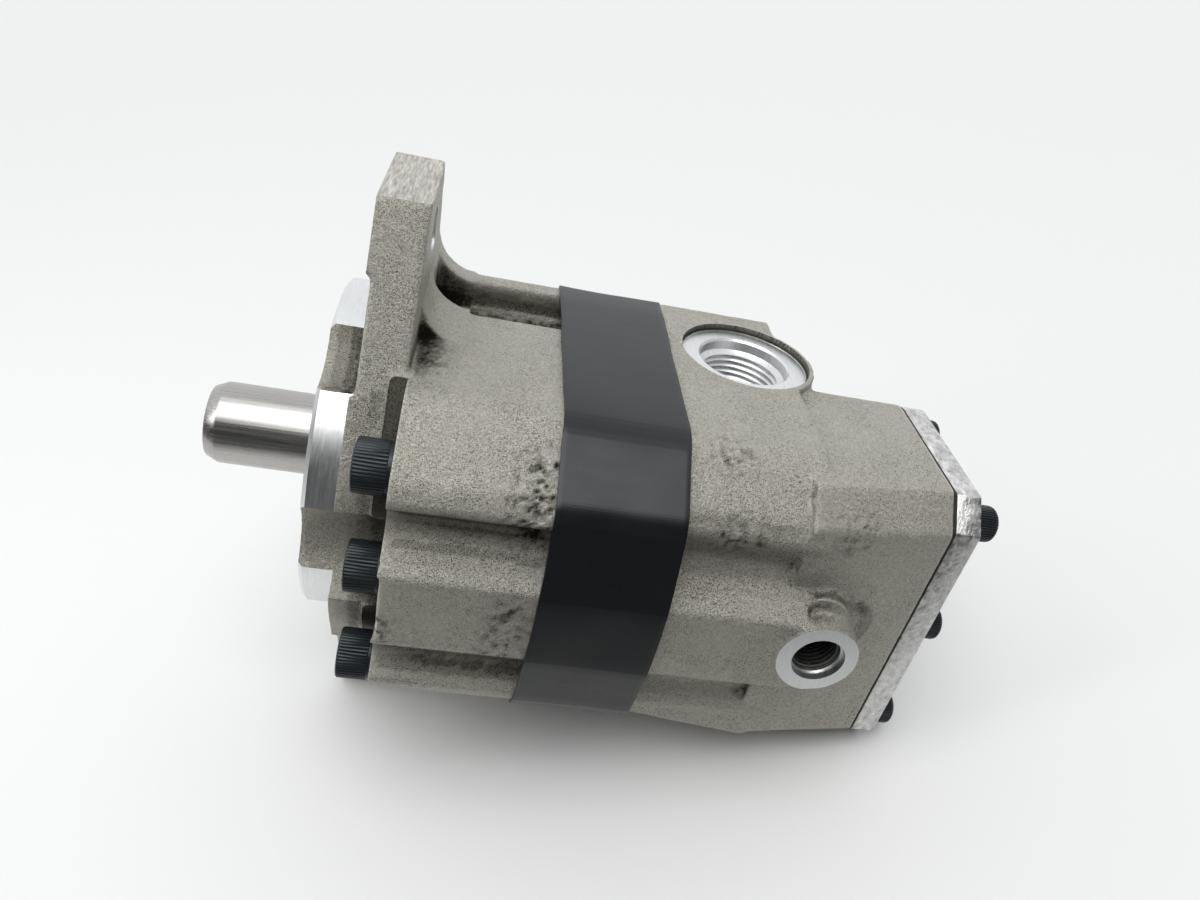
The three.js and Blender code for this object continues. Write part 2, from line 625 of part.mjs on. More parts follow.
// A straight cored passage between two points.
function passage(start, end, radius) {
  const direction = end.clone().sub(start);
  const cylinder = new THREE.CylinderGeometry(radius, radius, direction.length(), 24);
  const up = new THREE.Vector3(0, 1, 0);
  cylinder.applyQuaternion(new THREE.Quaternion().setFromUnitVectors(up, direction.clone().normalize()));
  const middle = start.clone().add(end).multiplyScalar(0.5);
  cylinder.translate(middle.x, middle.y, middle.z);
  return solidOf(cylinder);
}

function smallPortCut() {
  const x = MOUNT_FACE + SMALL_PORT_X;
  const bottom = SMALL_PORT_FACE - SMALL_PORT_DEPTH;
  const bore = portBore([
    [bottom, SMALL_PORT_RADIUS],
    [SMALL_PORT_FACE - SMALL_MOUTH_DEPTH - 1.2, SMALL_PORT_RADIUS],
    [SMALL_PORT_FACE - SMALL_MOUTH_DEPTH, SMALL_MOUTH_RADIUS],
    [SMALL_PORT_FACE + 1, SMALL_MOUTH_RADIUS + 0.8],
  ]);
  bore.rotateX(Math.PI);
  bore.translate(x, 0, SMALL_PORT_Z);
  const drilling = new THREE.CylinderGeometry(2.5, 2.5, 20, 20);
  drilling.translate(x, -(bottom - 9), SMALL_PORT_Z);
  return solidOf(bore).add(solidOf(drilling));
}

// ---------- cover, gasket and sleeve ----------

function endCover() {
  const plate = alongX(coverShape(), COVER_START, COVER_END);
  const holeRadius = COVER_SCREW_RADIUS + SCREW_HOLE_GAP;
  const holes = holesCut(coverScrews, holeRadius, COVER_START - 1, COVER_END + 1);
  return plate.subtract(holes);
}

function coverGasket() {
  const x0 = REAR_END + FIT_GAP;
  const sheet = alongX(coverShape(), x0, x0 + GASKET_THICKNESS);
  const opening = alongX(gearOval(GALLERY_RADIUS), x0 - 1, x0 + GASKET_THICKNESS + 1);
  const holes = holesCut(coverScrews, COVER_SCREW_RADIUS + SCREW_HOLE_GAP, x0 - 1, x0 + 2);
  return sheet.subtract(opening).subtract(holes);
}

// Flat gasket between the two housings.
function jointGasket() {
  const x0 = JOINT_FACE + FIT_GAP;
  const x1 = x0 + GASKET_THICKNESS;
  const ties = holesCut([...nearTies, ...farTies], TIE_SCREW_RADIUS + SCREW_HOLE_GAP, x0 - 1, x1 + 1);
  return alongX(lobedShape(), x0, x1)
    .subtract(alongX(gearOval(CHAMBER_RADIUS + 0.5), x0 - 1, x1 + 1))
    .subtract(ties)
    .subtract(holesCut(dowels, DOWEL_RADIUS + FIT_GAP, x0 - 1, x1 + 1));
}

function jointSleeve() {
  const x0 = MOUNT_FACE + SLEEVE_START;
  const outer = alongX(sleeveShape(FIT_GAP + SLEEVE_WALL), x0, x0 + SLEEVE_WIDTH);
  return outer.subtract(alongX(sleeveShape(FIT_GAP), x0 - 1, x0 + SLEEVE_WIDTH + 1));
}

// ---------- gears and shafts ----------

const involute = (angle) => Math.tan(angle) - angle;

// Spur gear outline in the YZ plane about its own axis, with a tooth centred on angle 0.
function gearShape(turn) {
  const base = PITCH_RADIUS * Math.cos(PRESSURE_ANGLE);
  const root = PITCH_RADIUS - 1.2 * GEAR_MODULE;
  const thinning = TOOTH_THINNING / PITCH_RADIUS;
  const halfTooth = Math.PI / (2 * GEAR_TEETH) - thinning;
  const halfAt = (r) => halfTooth + involute(PRESSURE_ANGLE) - involute(Math.acos(Math.min(1, base / r)));
  const flankSteps = 5;
  const radii = [root];
  for (let i = 0; i <= flankSteps; i++) radii.push(base + ((TIP_RADIUS - base) * i) / flankSteps);
  const points = [];
  for (let tooth = 0; tooth < GEAR_TEETH; tooth++) {
    const centre = turn + (2 * Math.PI * tooth) / GEAR_TEETH;
    const at = (r, side) => {
      const a = centre + side * halfAt(Math.max(r, base));
      return new THREE.Vector2(r * Math.cos(a), r * Math.sin(a));
    };
    radii.forEach((r) => points.push(at(r, -1)));
    [...radii].reverse().forEach((r) => points.push(at(r, 1)));
  }
  return new THREE.Shape(points);
}

function driveShaft() {
  const end = REAR_BLOCK_BACK - 4;
  const rod = turnedX([
    [0, 0],
    [0, SHAFT_RADIUS - SHAFT_CHAMFER],
    [SHAFT_CHAMFER_LENGTH, SHAFT_RADIUS],
    [SHAFT_STEP - 2, SHAFT_RADIUS],
    [SHAFT_STEP, JOURNAL_RADIUS],
    [end - 1, JOURNAL_RADIUS],
    [end, JOURNAL_RADIUS - 1],
    [end, 0],
  ]);
  const slotDepth = SHAFT_RADIUS - KEY_WIDTH / 2;
  const slot = alongX(
    rectangle(slotDepth, -KEY_WIDTH / 2 - FIT_GAP, SHAFT_RADIUS + 2, KEY_WIDTH / 2 + FIT_GAP),
    KEY_STANDOFF + SHAFT_CHAMFER_LENGTH - FIT_GAP,
    KEY_STANDOFF + SHAFT_CHAMFER_LENGTH + KEY_LENGTH + FIT_GAP,
  );
  return rod.add(alongX(gearShape(Math.PI), GEAR_FRONT, GEAR_BACK)).subtract(slot);
}

function shaftKey() {
  const x0 = KEY_STANDOFF + SHAFT_CHAMFER_LENGTH;
  const floor = SHAFT_RADIUS - KEY_WIDTH / 2 + FIT_GAP;
  return alongX(rectangle(floor, -KEY_WIDTH / 2, floor + KEY_WIDTH, KEY_WIDTH / 2), x0, x0 + KEY_LENGTH);
}

function drivenShaft() {
  const start = FRONT_BLOCK_FRONT + 4;
  const end = REAR_BLOCK_BACK - 4;
  const rod = turnedX([
    [start, 0],
    [start, JOURNAL_RADIUS - 1],
    [start + 1, JOURNAL_RADIUS],
    [end - 1, JOURNAL_RADIUS],
    [end, JOURNAL_RADIUS - 1],
    [end, 0],
  ]);
  const gear = alongX(gearShape(Math.PI / GEAR_TEETH), GEAR_FRONT, GEAR_BACK);
  return rod.add(gear).translate([0, DRIVEN_Y, 0]);
}

// ---------- bearings and seals ----------

// Bearing block: a figure of eight that carries both journals, with a groove for its pressure seal
// in the face turned away from the gears.
function bearingBlock(x0, x1, sealSide) {
  const outer = CHAMBER_RADIUS - FIT_GAP;
  const lobe = (y) => cylinderX(outer, x0, x1, y, 0, FINE_SIDES);
  let solid = lobe(0).add(lobe(DRIVEN_Y));
  for (const y of [0, DRIVEN_Y]) {
    solid = solid.subtract(cylinderX(BUSH_OUTER + FIT_GAP, x0 - 1, x1 + 1, y));
  }
  const grooveAt = sealSide < 0 ? x0 : x1 - PRESSURE_SEAL_SECTION;
  return solid.subtract(sealTrack(FIT_GAP, grooveAt - 1, grooveAt + PRESSURE_SEAL_SECTION + 1, sealSide));
}

// The pressure seal lies on one side of the block, outside both bores, as two joined arcs.
function sealTrack(grow, x0, x1, side) {
  const from = side < 0 ? x0 : x0 + 1;
  const to = side < 0 ? x1 - 1 : x1;
  const inner = PITCH_RADIUS - SEAL_TRACK_INSET - grow;
  const outer = inner + 2 + 2 * grow;
  const arc = (y) => ringX(outer, inner, from, to, y);
  const keep = alongX(rectangle(DRIVEN_Y - 40, -3 - grow, 40, 40), from - 1, to + 1);
  const hole = (y) => cylinderX(inner, from - 1, to + 1, y);
  return arc(0).add(arc(DRIVEN_Y)).subtract(hole(0)).subtract(hole(DRIVEN_Y)).intersect(keep);
}

function bush(x0, x1, y) {
  return ringX(BUSH_OUTER, BUSH_INNER, x0, x1, y);
}

function shaftSeal() {
  const x0 = SEAL_FRONT;
  const x1 = x0 + SEAL_WIDTH;
  const lip = SHAFT_RADIUS + 0.25;
  const section = [
    [x0, SEAL_RADIUS],
    [x1, SEAL_RADIUS],
    [x1, SEAL_RADIUS - 2],
    [x0 + 2, SEAL_RADIUS - 2],
    [x0 + 2, lip + 2.6],
    [x1 - 1.5, lip + 1.8],
    [x1 - 1.5, lip],
    [x0, lip + 0.9],
  ];
  return turnedX([...section, section[0]]);
}

// Split ring that keeps the shaft seal in its pocket.
function retainingRing() {
  const outer = SEAL_RADIUS + RING_GROOVE_DEPTH;
  const ring = ringX(outer, outer - RING_BAND, RING_FRONT, RING_FRONT + RING_WIDTH);
  const split = rectangle(-RING_SPLIT / 2, -outer - 1, RING_SPLIT / 2, -outer / 2);
  return ring.subtract(alongX(split, RING_FRONT - 1, RING_FRONT + RING_WIDTH + 1));
}

function pressureSeal(x0, side) {
  const from = side < 0 ? x0 : x0 - 1;
  return sealTrack(0, from, from + PRESSURE_SEAL_SECTION - FIT_GAP + 1, side);
}

// ---------- fasteners ----------

// Socket head cap screw along X: its head seats at x, and direction is the way the shank points.
function capScrew(x, y, z, direction, size) {
  const turned = turnedX([
    [-size.headHeight, 0],
    [-size.headHeight, size.headRadius - size.edge],
    [-size.headHeight + size.edge, size.headRadius],
    [0, size.headRadius],
    [0, size.radius],
    [size.length - 1, size.radius],
    [size.length, size.radius - 1],
    [size.length, 0],
  ], 0, 0, HOLE_SIDES);
  const depth = size.headHeight * 0.55;
  const hexagon = circleShape(size.radius * 0.92, 0, 0, 6);
  const socket = alongX(hexagon, -size.headHeight - 1, -size.headHeight + depth);
  const screw = turned.subtract(socket);
  const faced = direction > 0 ? screw : screw.mirror([1, 0, 0]);
  return faced.translate([x, y, z]);
}

const tieScrew = (length) => ({
  headHeight: TIE_HEAD_HEIGHT,
  headRadius: TIE_HEAD_RADIUS,
  radius: TIE_SCREW_RADIUS,
  edge: 0.8,
  length,
});
const coverScrew = {
  headHeight: COVER_HEAD_HEIGHT,
  headRadius: COVER_HEAD_RADIUS,
  radius: COVER_SCREW_RADIUS,
  edge: 1.6,
  length: COVER_SCREW_LENGTH,
};

// ---------- assembly ----------

const pump = new THREE.Group();
const place = (name, solid, material) => pump.add(meshOf(name, solid, material));

place("front_housing", frontHousing(), castAluminium);
place("rear_housing", rearHousing(), castAluminium);
place("end_cover", endCover(), machinedAluminium);
place("end_cover_gasket", coverGasket(), gasketFibre);
place("joint_sleeve", jointSleeve(), blackRubber);
place("joint_gasket", jointGasket(), gasketFibre);

place("drive_gear_shaft", driveShaft(), groundSteel);
place("driven_gear_shaft", drivenShaft(), groundSteel);
place("shaft_key", shaftKey(), groundSteel);
place("shaft_seal", shaftSeal(), blackRubber);
place("seal_retaining_ring", retainingRing(), groundSteel);

place("front_bearing_block", bearingBlock(FRONT_BLOCK_FRONT, FRONT_BLOCK_BACK, -1), machinedAluminium);
place("rear_bearing_block", bearingBlock(REAR_BLOCK_FRONT, REAR_BLOCK_BACK, 1), machinedAluminium);
place("front_pressure_seal", pressureSeal(FRONT_BLOCK_FRONT, -1), blackRubber);
const rearSealFront = REAR_BLOCK_BACK - PRESSURE_SEAL_SECTION + FIT_GAP;
place("rear_pressure_seal", pressureSeal(rearSealFront, 1), blackRubber);
const bearingEnds = [
  ["front", FRONT_BLOCK_FRONT, FRONT_BLOCK_BACK],
  ["rear", REAR_BLOCK_FRONT, REAR_BLOCK_BACK],
];
for (const [end, x0, x1] of bearingEnds) {
  place(`${end}_drive_bush`, bush(x0 + FIT_GAP, x1 - FIT_GAP, 0), bronze);
  place(`${end}_driven_bush`, bush(x0 + FIT_GAP, x1 - FIT_GAP, DRIVEN_Y), bronze);
}

const halfDowel = DOWEL_LENGTH / 2;
dowels.forEach(([y, z], i) => {
  place(
    `joint_dowel_${i + 1}`,
    cylinderX(DOWEL_RADIUS, JOINT_FACE - halfDowel, JOINT_FACE + halfDowel, y, z, HOLE_SIDES),
    groundSteel,
  );
});
nearTies.forEach(([y, z], i) => {
  const screw = capScrew(FLANGE_BACK - FIT_GAP, y, z, 1, tieScrew(NEAR_TIE_LENGTH));
  place(`front_cap_screw_${i + 1}`, screw, blackOxide);
});
farTies.forEach(([y, z], i) => {
  const screw = capScrew(SHOULDER_X + FIT_GAP, y, z, -1, tieScrew(FAR_TIE_LENGTH));
  place(`rear_cap_screw_${i + 1}`, screw, blackOxide);
});
coverScrews.forEach(([y, z], i) => {
  const screw = capScrew(COVER_END + FIT_GAP, y, z, -1, coverScrew);
  place(`cover_screw_${i + 1}`, screw, blackOxide);
});

export default pump;
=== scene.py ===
import math

import bmesh
import bpy
from mathutils import Matrix, Vector, noise
from mathutils.bvhtree import BVHTree


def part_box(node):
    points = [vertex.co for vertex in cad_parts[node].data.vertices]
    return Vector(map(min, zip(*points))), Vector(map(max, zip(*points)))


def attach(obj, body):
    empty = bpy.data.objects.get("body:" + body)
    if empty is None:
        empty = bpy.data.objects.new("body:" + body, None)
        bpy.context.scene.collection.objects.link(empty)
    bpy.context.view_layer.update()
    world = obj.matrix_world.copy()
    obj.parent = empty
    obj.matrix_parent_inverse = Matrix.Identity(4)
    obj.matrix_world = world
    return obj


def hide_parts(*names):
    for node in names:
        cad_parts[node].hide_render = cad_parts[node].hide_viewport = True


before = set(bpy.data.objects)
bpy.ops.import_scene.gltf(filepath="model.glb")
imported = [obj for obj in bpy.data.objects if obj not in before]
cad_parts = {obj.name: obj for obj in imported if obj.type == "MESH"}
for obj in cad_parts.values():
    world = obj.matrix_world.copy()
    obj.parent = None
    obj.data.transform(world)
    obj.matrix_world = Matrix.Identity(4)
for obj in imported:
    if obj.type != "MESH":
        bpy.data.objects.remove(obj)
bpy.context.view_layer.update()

MM = 0.001

# ---------- driving dimensions, in millimetres ----------


def edge_mm(node, axis, high):
    """Where a CAD node starts or ends along an axis."""
    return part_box(node)[1 if high else 0][axis] / MM


JOINT = edge_mm("front_housing", 0, True)
REAR_START = edge_mm("rear_housing", 0, False)
REAR_END = edge_mm("rear_housing", 0, True)
COVER_START = edge_mm("end_cover", 0, False)
COVER_END = edge_mm("end_cover", 0, True)
PILOT_FACE = edge_mm("front_housing", 0, False)
EAR_REACH = edge_mm("front_housing", 2, True)
SLEEVE_START = edge_mm("joint_sleeve", 0, False)
SLEEVE_END = edge_mm("joint_sleeve", 0, True)
MOUNT_FACE = 46.0
FLANGE_BACK = 60.0
SHOULDER = REAR_END - 36
PILOT_RADIUS = 50.8
HUB_RADIUS = 58.0
EAR_HALF = 18.5
MOUNT_HOLE = 7.15
MOUNT_HOLE_Z = 73.0
HALF_HEIGHT = 48.8
TOP_RIB = (27.5, 35.5)
POCKET_FLOOR = HALF_HEIGHT - 10
NEAR_RIB = 74.5
NEAR_RIB_HALF = 11.5
COVER_NEAR, COVER_FAR, COVER_TOP, COVER_LOW = 59.0, 32.0, 45.8, 50.2
FAR_CORNER_Y = -4.0
REAR_TAPER = 6.4
DRIVEN_Y = -32.0
CHAMBER = 19.4
SHAFT = 12.7
JOURNAL = 11.0
SEAL = 21.0
NEAR_TIES = [(-58.2, 33.0), (-58.2, 0.0), (-58.2, -33.0)]
FAR_TIES = [(42.0, 16.0), (42.0, -16.0)]
COVER_SCREWS = [(-49.5, 36.3), (-49.5, -2.2), (-49.5, -40.7), (-4.0, 36.3), (-4.0, -40.7), (25.5, 0.0)]
DOWELS = [(-16.0, 37.0), (-16.0, -37.0)]
LARGE_PORT = (159.8, 7.0)
LARGE_SPOT, LARGE_MOUTH, LARGE_THREAD = 20.7, 14.2, 13.1
LARGE_FACE = HALF_HEIGHT - 2.2
SMALL_PORT_X, SMALL_PORT_Z = 179.0, 1.5
SMALL_SPOT, SMALL_MOUTH, SMALL_THREAD = 11.2, 7.4, 6.6
SMALL_FACE = 75.2
FIT_GAP = 0.15
NOTCH_COUNT, NOTCH_RADIUS, NOTCH_CENTRE = 6, 16.4, 62.2
SEAL_POCKET_END = 50.3
RING_GROOVE, RING_GROOVE_DEPTH = (38.3, 40.3), 1.6
CHAMBER_FRONT, CHAMBER_BACK = 110.7, 194.3
GALLERY_RADIUS, GALLERY_DEPTH = 12.0, 8.0
TIE_SEAT, TIE_CLEAR, TIE_TAPPED, NEAR_TIE_END = 8.15, 5.15, 4.9, 142.1
COVER_CLEAR, COVER_TAPPED, COVER_TAP_DEPTH = 3.4, 3.15, 10.3
DOWEL_BORE, DOWEL_FROM, DOWEL_TO = 4.15, 107.8, 129.25
GEAR_FRONT, GEAR_BACK = 147.0, 177.0
SHAFT_STEP, SHAFT_END = 106.85, 190.15
AHEAD, BEFORE_JOINT, PAST_JOINT = 20.0, 110.0, 130.0  # where cutters start or end, clear of a casting

# casting skin
VOXEL = 0.9
EASING_ROUNDS = 5
FLASH_Z = 36.5  # height of the parting lines
# reach and number of the rays that measure how shut in a point is, for painted shade
SHADE_REACH, SHADE_RAYS = 14.0, 10

# the fourth slot is a dark copy of the cast skin for bores, seats, port recesses and the faces beside the
# flange: painted shade
CAST, CUT, SAWN, SHADE_PAINTED = 0, 1, 2, 3  # material slots of a casting

# ---------- mesh makers, all in millimetres ----------


def rounded(corners, steps=6):
    """Fillets the corners of a closed outline; each corner is (y, z, radius)."""
    points = []
    for i, (y, z, radius) in enumerate(corners):
        here = Vector((y, z))
        back = (Vector(corners[i - 1][:2]) - here).normalized()
        onward = (Vector(corners[(i + 1) % len(corners)][:2]) - here).normalized()
        if not radius:
            points.append(here)
            continue
        half = math.acos(max(-1.0, min(1.0, back.dot(onward)))) / 2
        centre = here + (back + onward).normalized() * (radius / math.sin(half))
        start = here + back * (radius / math.tan(half)) - centre
        end = here + onward * (radius / math.tan(half)) - centre
        sweep = math.atan2(start.x * end.y - start.y * end.x, start.dot(end))
        for k in range(steps + 1):
            angle = sweep * k / steps
            turn = Matrix.Rotation(angle, 2)
            points.append(centre + turn @ start)
    return points


def regular(radius, sides):
    """Corners of a regular polygon."""
    angles = [2 * math.pi * i / sides for i in range(sides)]
    return [Vector((radius * math.cos(a), radius * math.sin(a))) for a in angles]


def closed_up(bm):
    bmesh.ops.remove_doubles(bm, verts=bm.verts, dist=1e-4)
    bmesh.ops.recalc_face_normals(bm, faces=bm.faces)
    return bm


def prism(outline, start, end, axis="x"):
    """Extrudes a flat outline: (y, z) along x, or (x, z) along y."""
    place = {"x": lambda a, b: (start, a, b), "y": lambda a, b: (a, start, b)}[axis]
    step = Vector({"x": (1, 0, 0), "y": (0, 1, 0)}[axis]) * (end - start)
    bm = bmesh.new()
    face = bm.faces.new([bm.verts.new(place(*point)) for point in outline])
    grown = bmesh.ops.extrude_face_region(bm, geom=[face], use_keep_orig=True)
    moved = [item for item in grown["geom"] if isinstance(item, bmesh.types.BMVert)]
    bmesh.ops.translate(bm, verts=moved, vec=step)
    return closed_up(bm)


def turned(profile, centre=(0.0, 0.0), steps=96, closed=False):
    """Spins a profile of (x, radius) about an axis along x through centre (y, z)."""
    bm = bmesh.new()
    verts = [bm.verts.new((x, radius, 0)) for x, radius in profile]
    pairs = list(zip(verts, verts[1:]))
    if closed:
        pairs.append((verts[-1], verts[0]))
    edges = [bm.edges.new(pair) for pair in pairs]
    bmesh.ops.spin(
        bm, geom=verts + edges, axis=(1, 0, 0), cent=(0, 0, 0), steps=steps, angle=2 * math.pi,
        use_merge=True,
    )
    bmesh.ops.translate(bm, verts=bm.verts, vec=(0, *centre))
    return closed_up(bm)


def rod(radius, start, end, centre=(0.0, 0.0), steps=96):
    return turned([(start, 0), (start, radius), (end, radius), (end, 0)], centre, steps)


def box(low, high):
    bm = bmesh.new()
    bmesh.ops.create_cube(bm, size=1)
    size = Vector(high) - Vector(low)
    bmesh.ops.scale(bm, verts=bm.verts, vec=size)
    bmesh.ops.translate(bm, verts=bm.verts, vec=(Vector(high) + Vector(low)) / 2)
    return bm


def aimed(bm, axis, origin):
    """Turns a shape made along +x so that it runs along another axis from an origin."""
    turn = Vector((1, 0, 0)).rotation_difference(Vector(axis)).to_matrix()
    bmesh.ops.rotate(bm, verts=bm.verts, cent=(0, 0, 0), matrix=turn)
    bmesh.ops.translate(bm, verts=bm.verts, vec=origin)
    return bm


def mirrored_z(bm):
    bmesh.ops.scale(bm, verts=bm.verts, vec=(1, 1, -1))
    bmesh.ops.reverse_faces(bm, faces=bm.faces)
    return bm


def bevelled(bm, width, segments=2, least=0.5):
    sharp = [e for e in bm.edges if len(e.link_faces) == 2 and e.calc_face_angle() > least]
    bmesh.ops.bevel(
        bm, geom=sharp, offset=width, segments=segments, profile=0.5, affect="EDGES", material=-1,
        clamp_overlap=True,
    )
    return bm


def made(name, bm, slot_index=0):
    """A mesh object in metres from a shape in millimetres."""
    mesh = bpy.data.meshes.new(name)
    for face in bm.faces:
        face.material_index = slot_index
    bm.to_mesh(mesh)
    bm.free()
    mesh.transform(Matrix.Scale(MM, 4))
    thing = bpy.data.objects.new(name, mesh)
    bpy.context.scene.collection.objects.link(thing)
    return thing


def settled(thing):
    """Applies a piece's modifiers and removes the helper shapes they used."""
    helpers = [m.object for m in thing.modifiers if m.type == "BOOLEAN"]
    bpy.context.view_layer.update()
    view = bpy.context.evaluated_depsgraph_get()
    mesh = bpy.data.meshes.new_from_object(thing.evaluated_get(view))
    thing.modifiers.clear()
    thing.data = mesh
    for helper in helpers:
        bpy.data.objects.remove(helper)
    return thing


def boolean(thing, bm, operation="DIFFERENCE", slot_index=CUT):
    helper = made("helper", bm, slot_index)
    for finish in FINISHES:
        helper.data.materials.append(finish)
    helper.hide_render = True
    step = thing.modifiers.new("cut", "BOOLEAN")
    step.operation = operation
    step.solver = "MANIFOLD"
    step.object = helper
    return thing


def shaded(thing, angle=32):
    thing.data.shade_smooth()
    thing.data.set_sharp_from_angle(angle=math.radians(angle))
    return thing


def piece(name, thing, material, nodes, body="root"):
    """Finishes a piece: its materials, the body it rides on and the node it stands for."""
    if material:
        thing.data.materials.clear()
        thing.data.materials.append(material)
    thing.name = name
    shaded(thing)
    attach(thing, body)
    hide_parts(*nodes)
    return thing


# ---------- shader groups ----------


def group(name, inputs, outputs):
    tree = bpy.data.node_groups.new(name, "ShaderNodeTree")
    for label, kind, value in inputs:
        socket = tree.interface.new_socket(label, in_out="INPUT", socket_type=kind)
        socket.default_value = value
    for label, kind in outputs:
        tree.interface.new_socket(label, in_out="OUTPUT", socket_type=kind)
    return tree, tree.nodes.new("NodeGroupInput"), tree.nodes.new("NodeGroupOutput")


def math_node(tree, operation, first, second=None, third=None, clamp=False):
    node = tree.nodes.new("ShaderNodeMath")
    node.operation = operation
    node.use_clamp = clamp
    for socket, value in zip(node.inputs, (first, second, third)):
        if value is None:
            continue
        if isinstance(value, (int, float)):
            socket.default_value = value
        else:
            tree.links.new(value, socket)
    return node.outputs[0]


def noise_node(tree, vector, scale, detail=3.0, rough=0.6):
    node = tree.nodes.new("ShaderNodeTexNoise")
    node.inputs["Scale"].default_value = scale
    node.inputs["Detail"].default_value = detail
    node.inputs["Roughness"].default_value = rough
    tree.links.new(vector, node.inputs["Vector"])
    return node.outputs["Fac"]


def ramp(tree, value, low, high):
    node = tree.nodes.new("ShaderNodeMapRange")
    node.interpolation_type = "SMOOTHSTEP"
    tree.links.new(value, node.inputs["Value"])
    node.inputs["From Min"].default_value = low
    node.inputs["From Max"].default_value = high
    return node.outputs["Result"]


def mix_colour(tree, factor, first, second):
    node = tree.nodes.new("ShaderNodeMix")
    node.data_type = "RGBA"
    tree.links.new(factor, node.inputs["Factor"])
    for socket, value in ((node.inputs["A"], first), (node.inputs["B"], second)):
        if isinstance(value, tuple):
            socket.default_value = value
        else:
            tree.links.new(value, socket)
    return node.outputs["Result"]


def cast_skin_group():
    """Sandy casting skin: speckle, dark pits, painted shade in shut-in places and dirt at scars, read
    from a point attribute, and its height.
    """
    tree, source, sink = group(
        "cast skin",
        [
            ("Light", "NodeSocketColor", (0.4, 0.38, 0.34, 1)),
            ("Dark", "NodeSocketColor", (0.1, 0.09, 0.08, 1)),
            ("Dirt", "NodeSocketFloat", 1.0),
        ],
        [("Colour", "NodeSocketColor"), ("Height", "NodeSocketFloat"), ("Shine", "NodeSocketFloat")],
    )
    where = tree.nodes.new("ShaderNodeTexCoord").outputs["Object"]
    fine = noise_node(tree, where, 3600, 2, 0.75)
    middle = noise_node(tree, where, 1000, 4, 0.7)
    broad = noise_node(tree, where, 60, 4, 0.65)
    shade_and_grime = tree.nodes.new("ShaderNodeAttribute")
    shade_and_grime.attribute_name = "shade_and_grime"
    pits = ramp(tree, fine, 0.5, 0.64)
    worn = tree.nodes.new("ShaderNodeAttribute")
    worn.attribute_name = "worn"
    patches = ramp(tree, broad, 0.38, 0.68)
    # darkening by the shut-in measure is painted shade; at scars it is dirt
    shade_and_dirt = math_node(tree, "MULTIPLY", shade_and_grime.outputs["Fac"], source.outputs["Dirt"])
    speckle = math_node(tree, "MULTIPLY", pits, math_node(tree, "MULTIPLY_ADD", patches, 0.42, 0.5))
    more = math_node(tree, "MULTIPLY", shade_and_dirt, math_node(tree, "MULTIPLY_ADD", middle, 1.7, -0.05))
    dark = math_node(tree, "ADD", speckle, more, clamp=True)
    skin = mix_colour(tree, dark, source.outputs["Light"], source.outputs["Dark"])
    uneven = math_node(tree, "MULTIPLY_ADD", broad, 1.4, -0.1)
    rubbed = math_node(tree, "MULTIPLY", worn.outputs["Fac"], uneven)
    colour = mix_colour(tree, rubbed, skin, (0.85, 0.84, 0.8, 1))
    shade = math_node(tree, "MULTIPLY_ADD", middle, 0.9, 0.58)
    toned = tree.nodes.new("ShaderNodeVectorMath")
    toned.operation = "SCALE"
    tree.links.new(colour, toned.inputs[0])
    tree.links.new(shade, toned.inputs["Scale"])
    tree.links.new(toned.outputs[0], sink.inputs["Colour"])
    height = math_node(tree, "MULTIPLY_ADD", middle, 0.6, math_node(tree, "MULTIPLY", fine, 0.4))
    pitted = math_node(tree, "SUBTRACT", height, math_node(tree, "MULTIPLY", pits, 0.22))
    tree.links.new(pitted, sink.inputs["Height"])
    tree.links.new(math_node(tree, "MULTIPLY_ADD", dark, 0.25, 0.46), sink.inputs["Shine"])
    return tree


def scratch_group():
    """Fine marks of a tool, drawn out along one axis of the object."""
    tree, source, sink = group(
        "tool marks",
        [("Stretch", "NodeSocketVector", (40, 900, 900)), ("Contrast", "NodeSocketFloat", 0.3)],
        [("Value", "NodeSocketFloat")],
    )
    where = tree.nodes.new("ShaderNodeTexCoord").outputs["Object"]
    scaled = tree.nodes.new("ShaderNodeVectorMath")
    scaled.operation = "MULTIPLY"
    tree.links.new(where, scaled.inputs[0])
    tree.links.new(source.outputs["Stretch"], scaled.inputs[1])
    lines = noise_node(tree, scaled.outputs[0], 1.0, 4, 0.7)
    centred = math_node(tree, "SUBTRACT", lines, 0.5)
    spread = math_node(tree, "MULTIPLY", centred, source.outputs["Contrast"])
    tree.links.new(math_node(tree, "ADD", spread, 0.5), sink.inputs["Value"])
    return tree


CAST_SKIN = cast_skin_group()
TOOL_MARKS = scratch_group()


def material(name, base, rough, metallic):
    thing = bpy.data.materials.new(name)
    thing.use_nodes = True
    shader = thing.node_tree.nodes["Principled BSDF"]
    shader.inputs["Base Color"].default_value = (*base, 1)
    shader.inputs["Roughness"].default_value = rough
    shader.inputs["Metallic"].default_value = metallic
    return thing, thing.node_tree, shader


def placed(tree, kind, **values):
    node = tree.nodes.new("ShaderNodeGroup")
    node.node_tree = kind
    for label, value in values.items():
        node.inputs[label].default_value = value
    return node


def bumped(tree, shader, height, strength, distance):
    bump = tree.nodes.new("ShaderNodeBump")
    bump.inputs["Strength"].default_value = strength
    bump.inputs["Distance"].default_value = distance
    tree.links.new(height, bump.inputs["Height"])
    tree.links.new(bump.outputs["Normal"], shader.inputs["Normal"])


# the third argument scales the painted shade of shut-in places and the dirt of scars
def cast_material(name, light, dark, shade_and_dirt, strength):
    thing, tree, shader = material(name, light, 0.5, 0.82)
    skin = placed(tree, CAST_SKIN, Light=(*light, 1), Dark=(*dark, 1), Dirt=shade_and_dirt)
    tree.links.new(skin.outputs["Colour"], shader.inputs["Base Color"])
    tree.links.new(skin.outputs["Shine"], shader.inputs["Roughness"])
    bumped(tree, shader, skin.outputs["Height"], strength, 0.0006)
    return thing


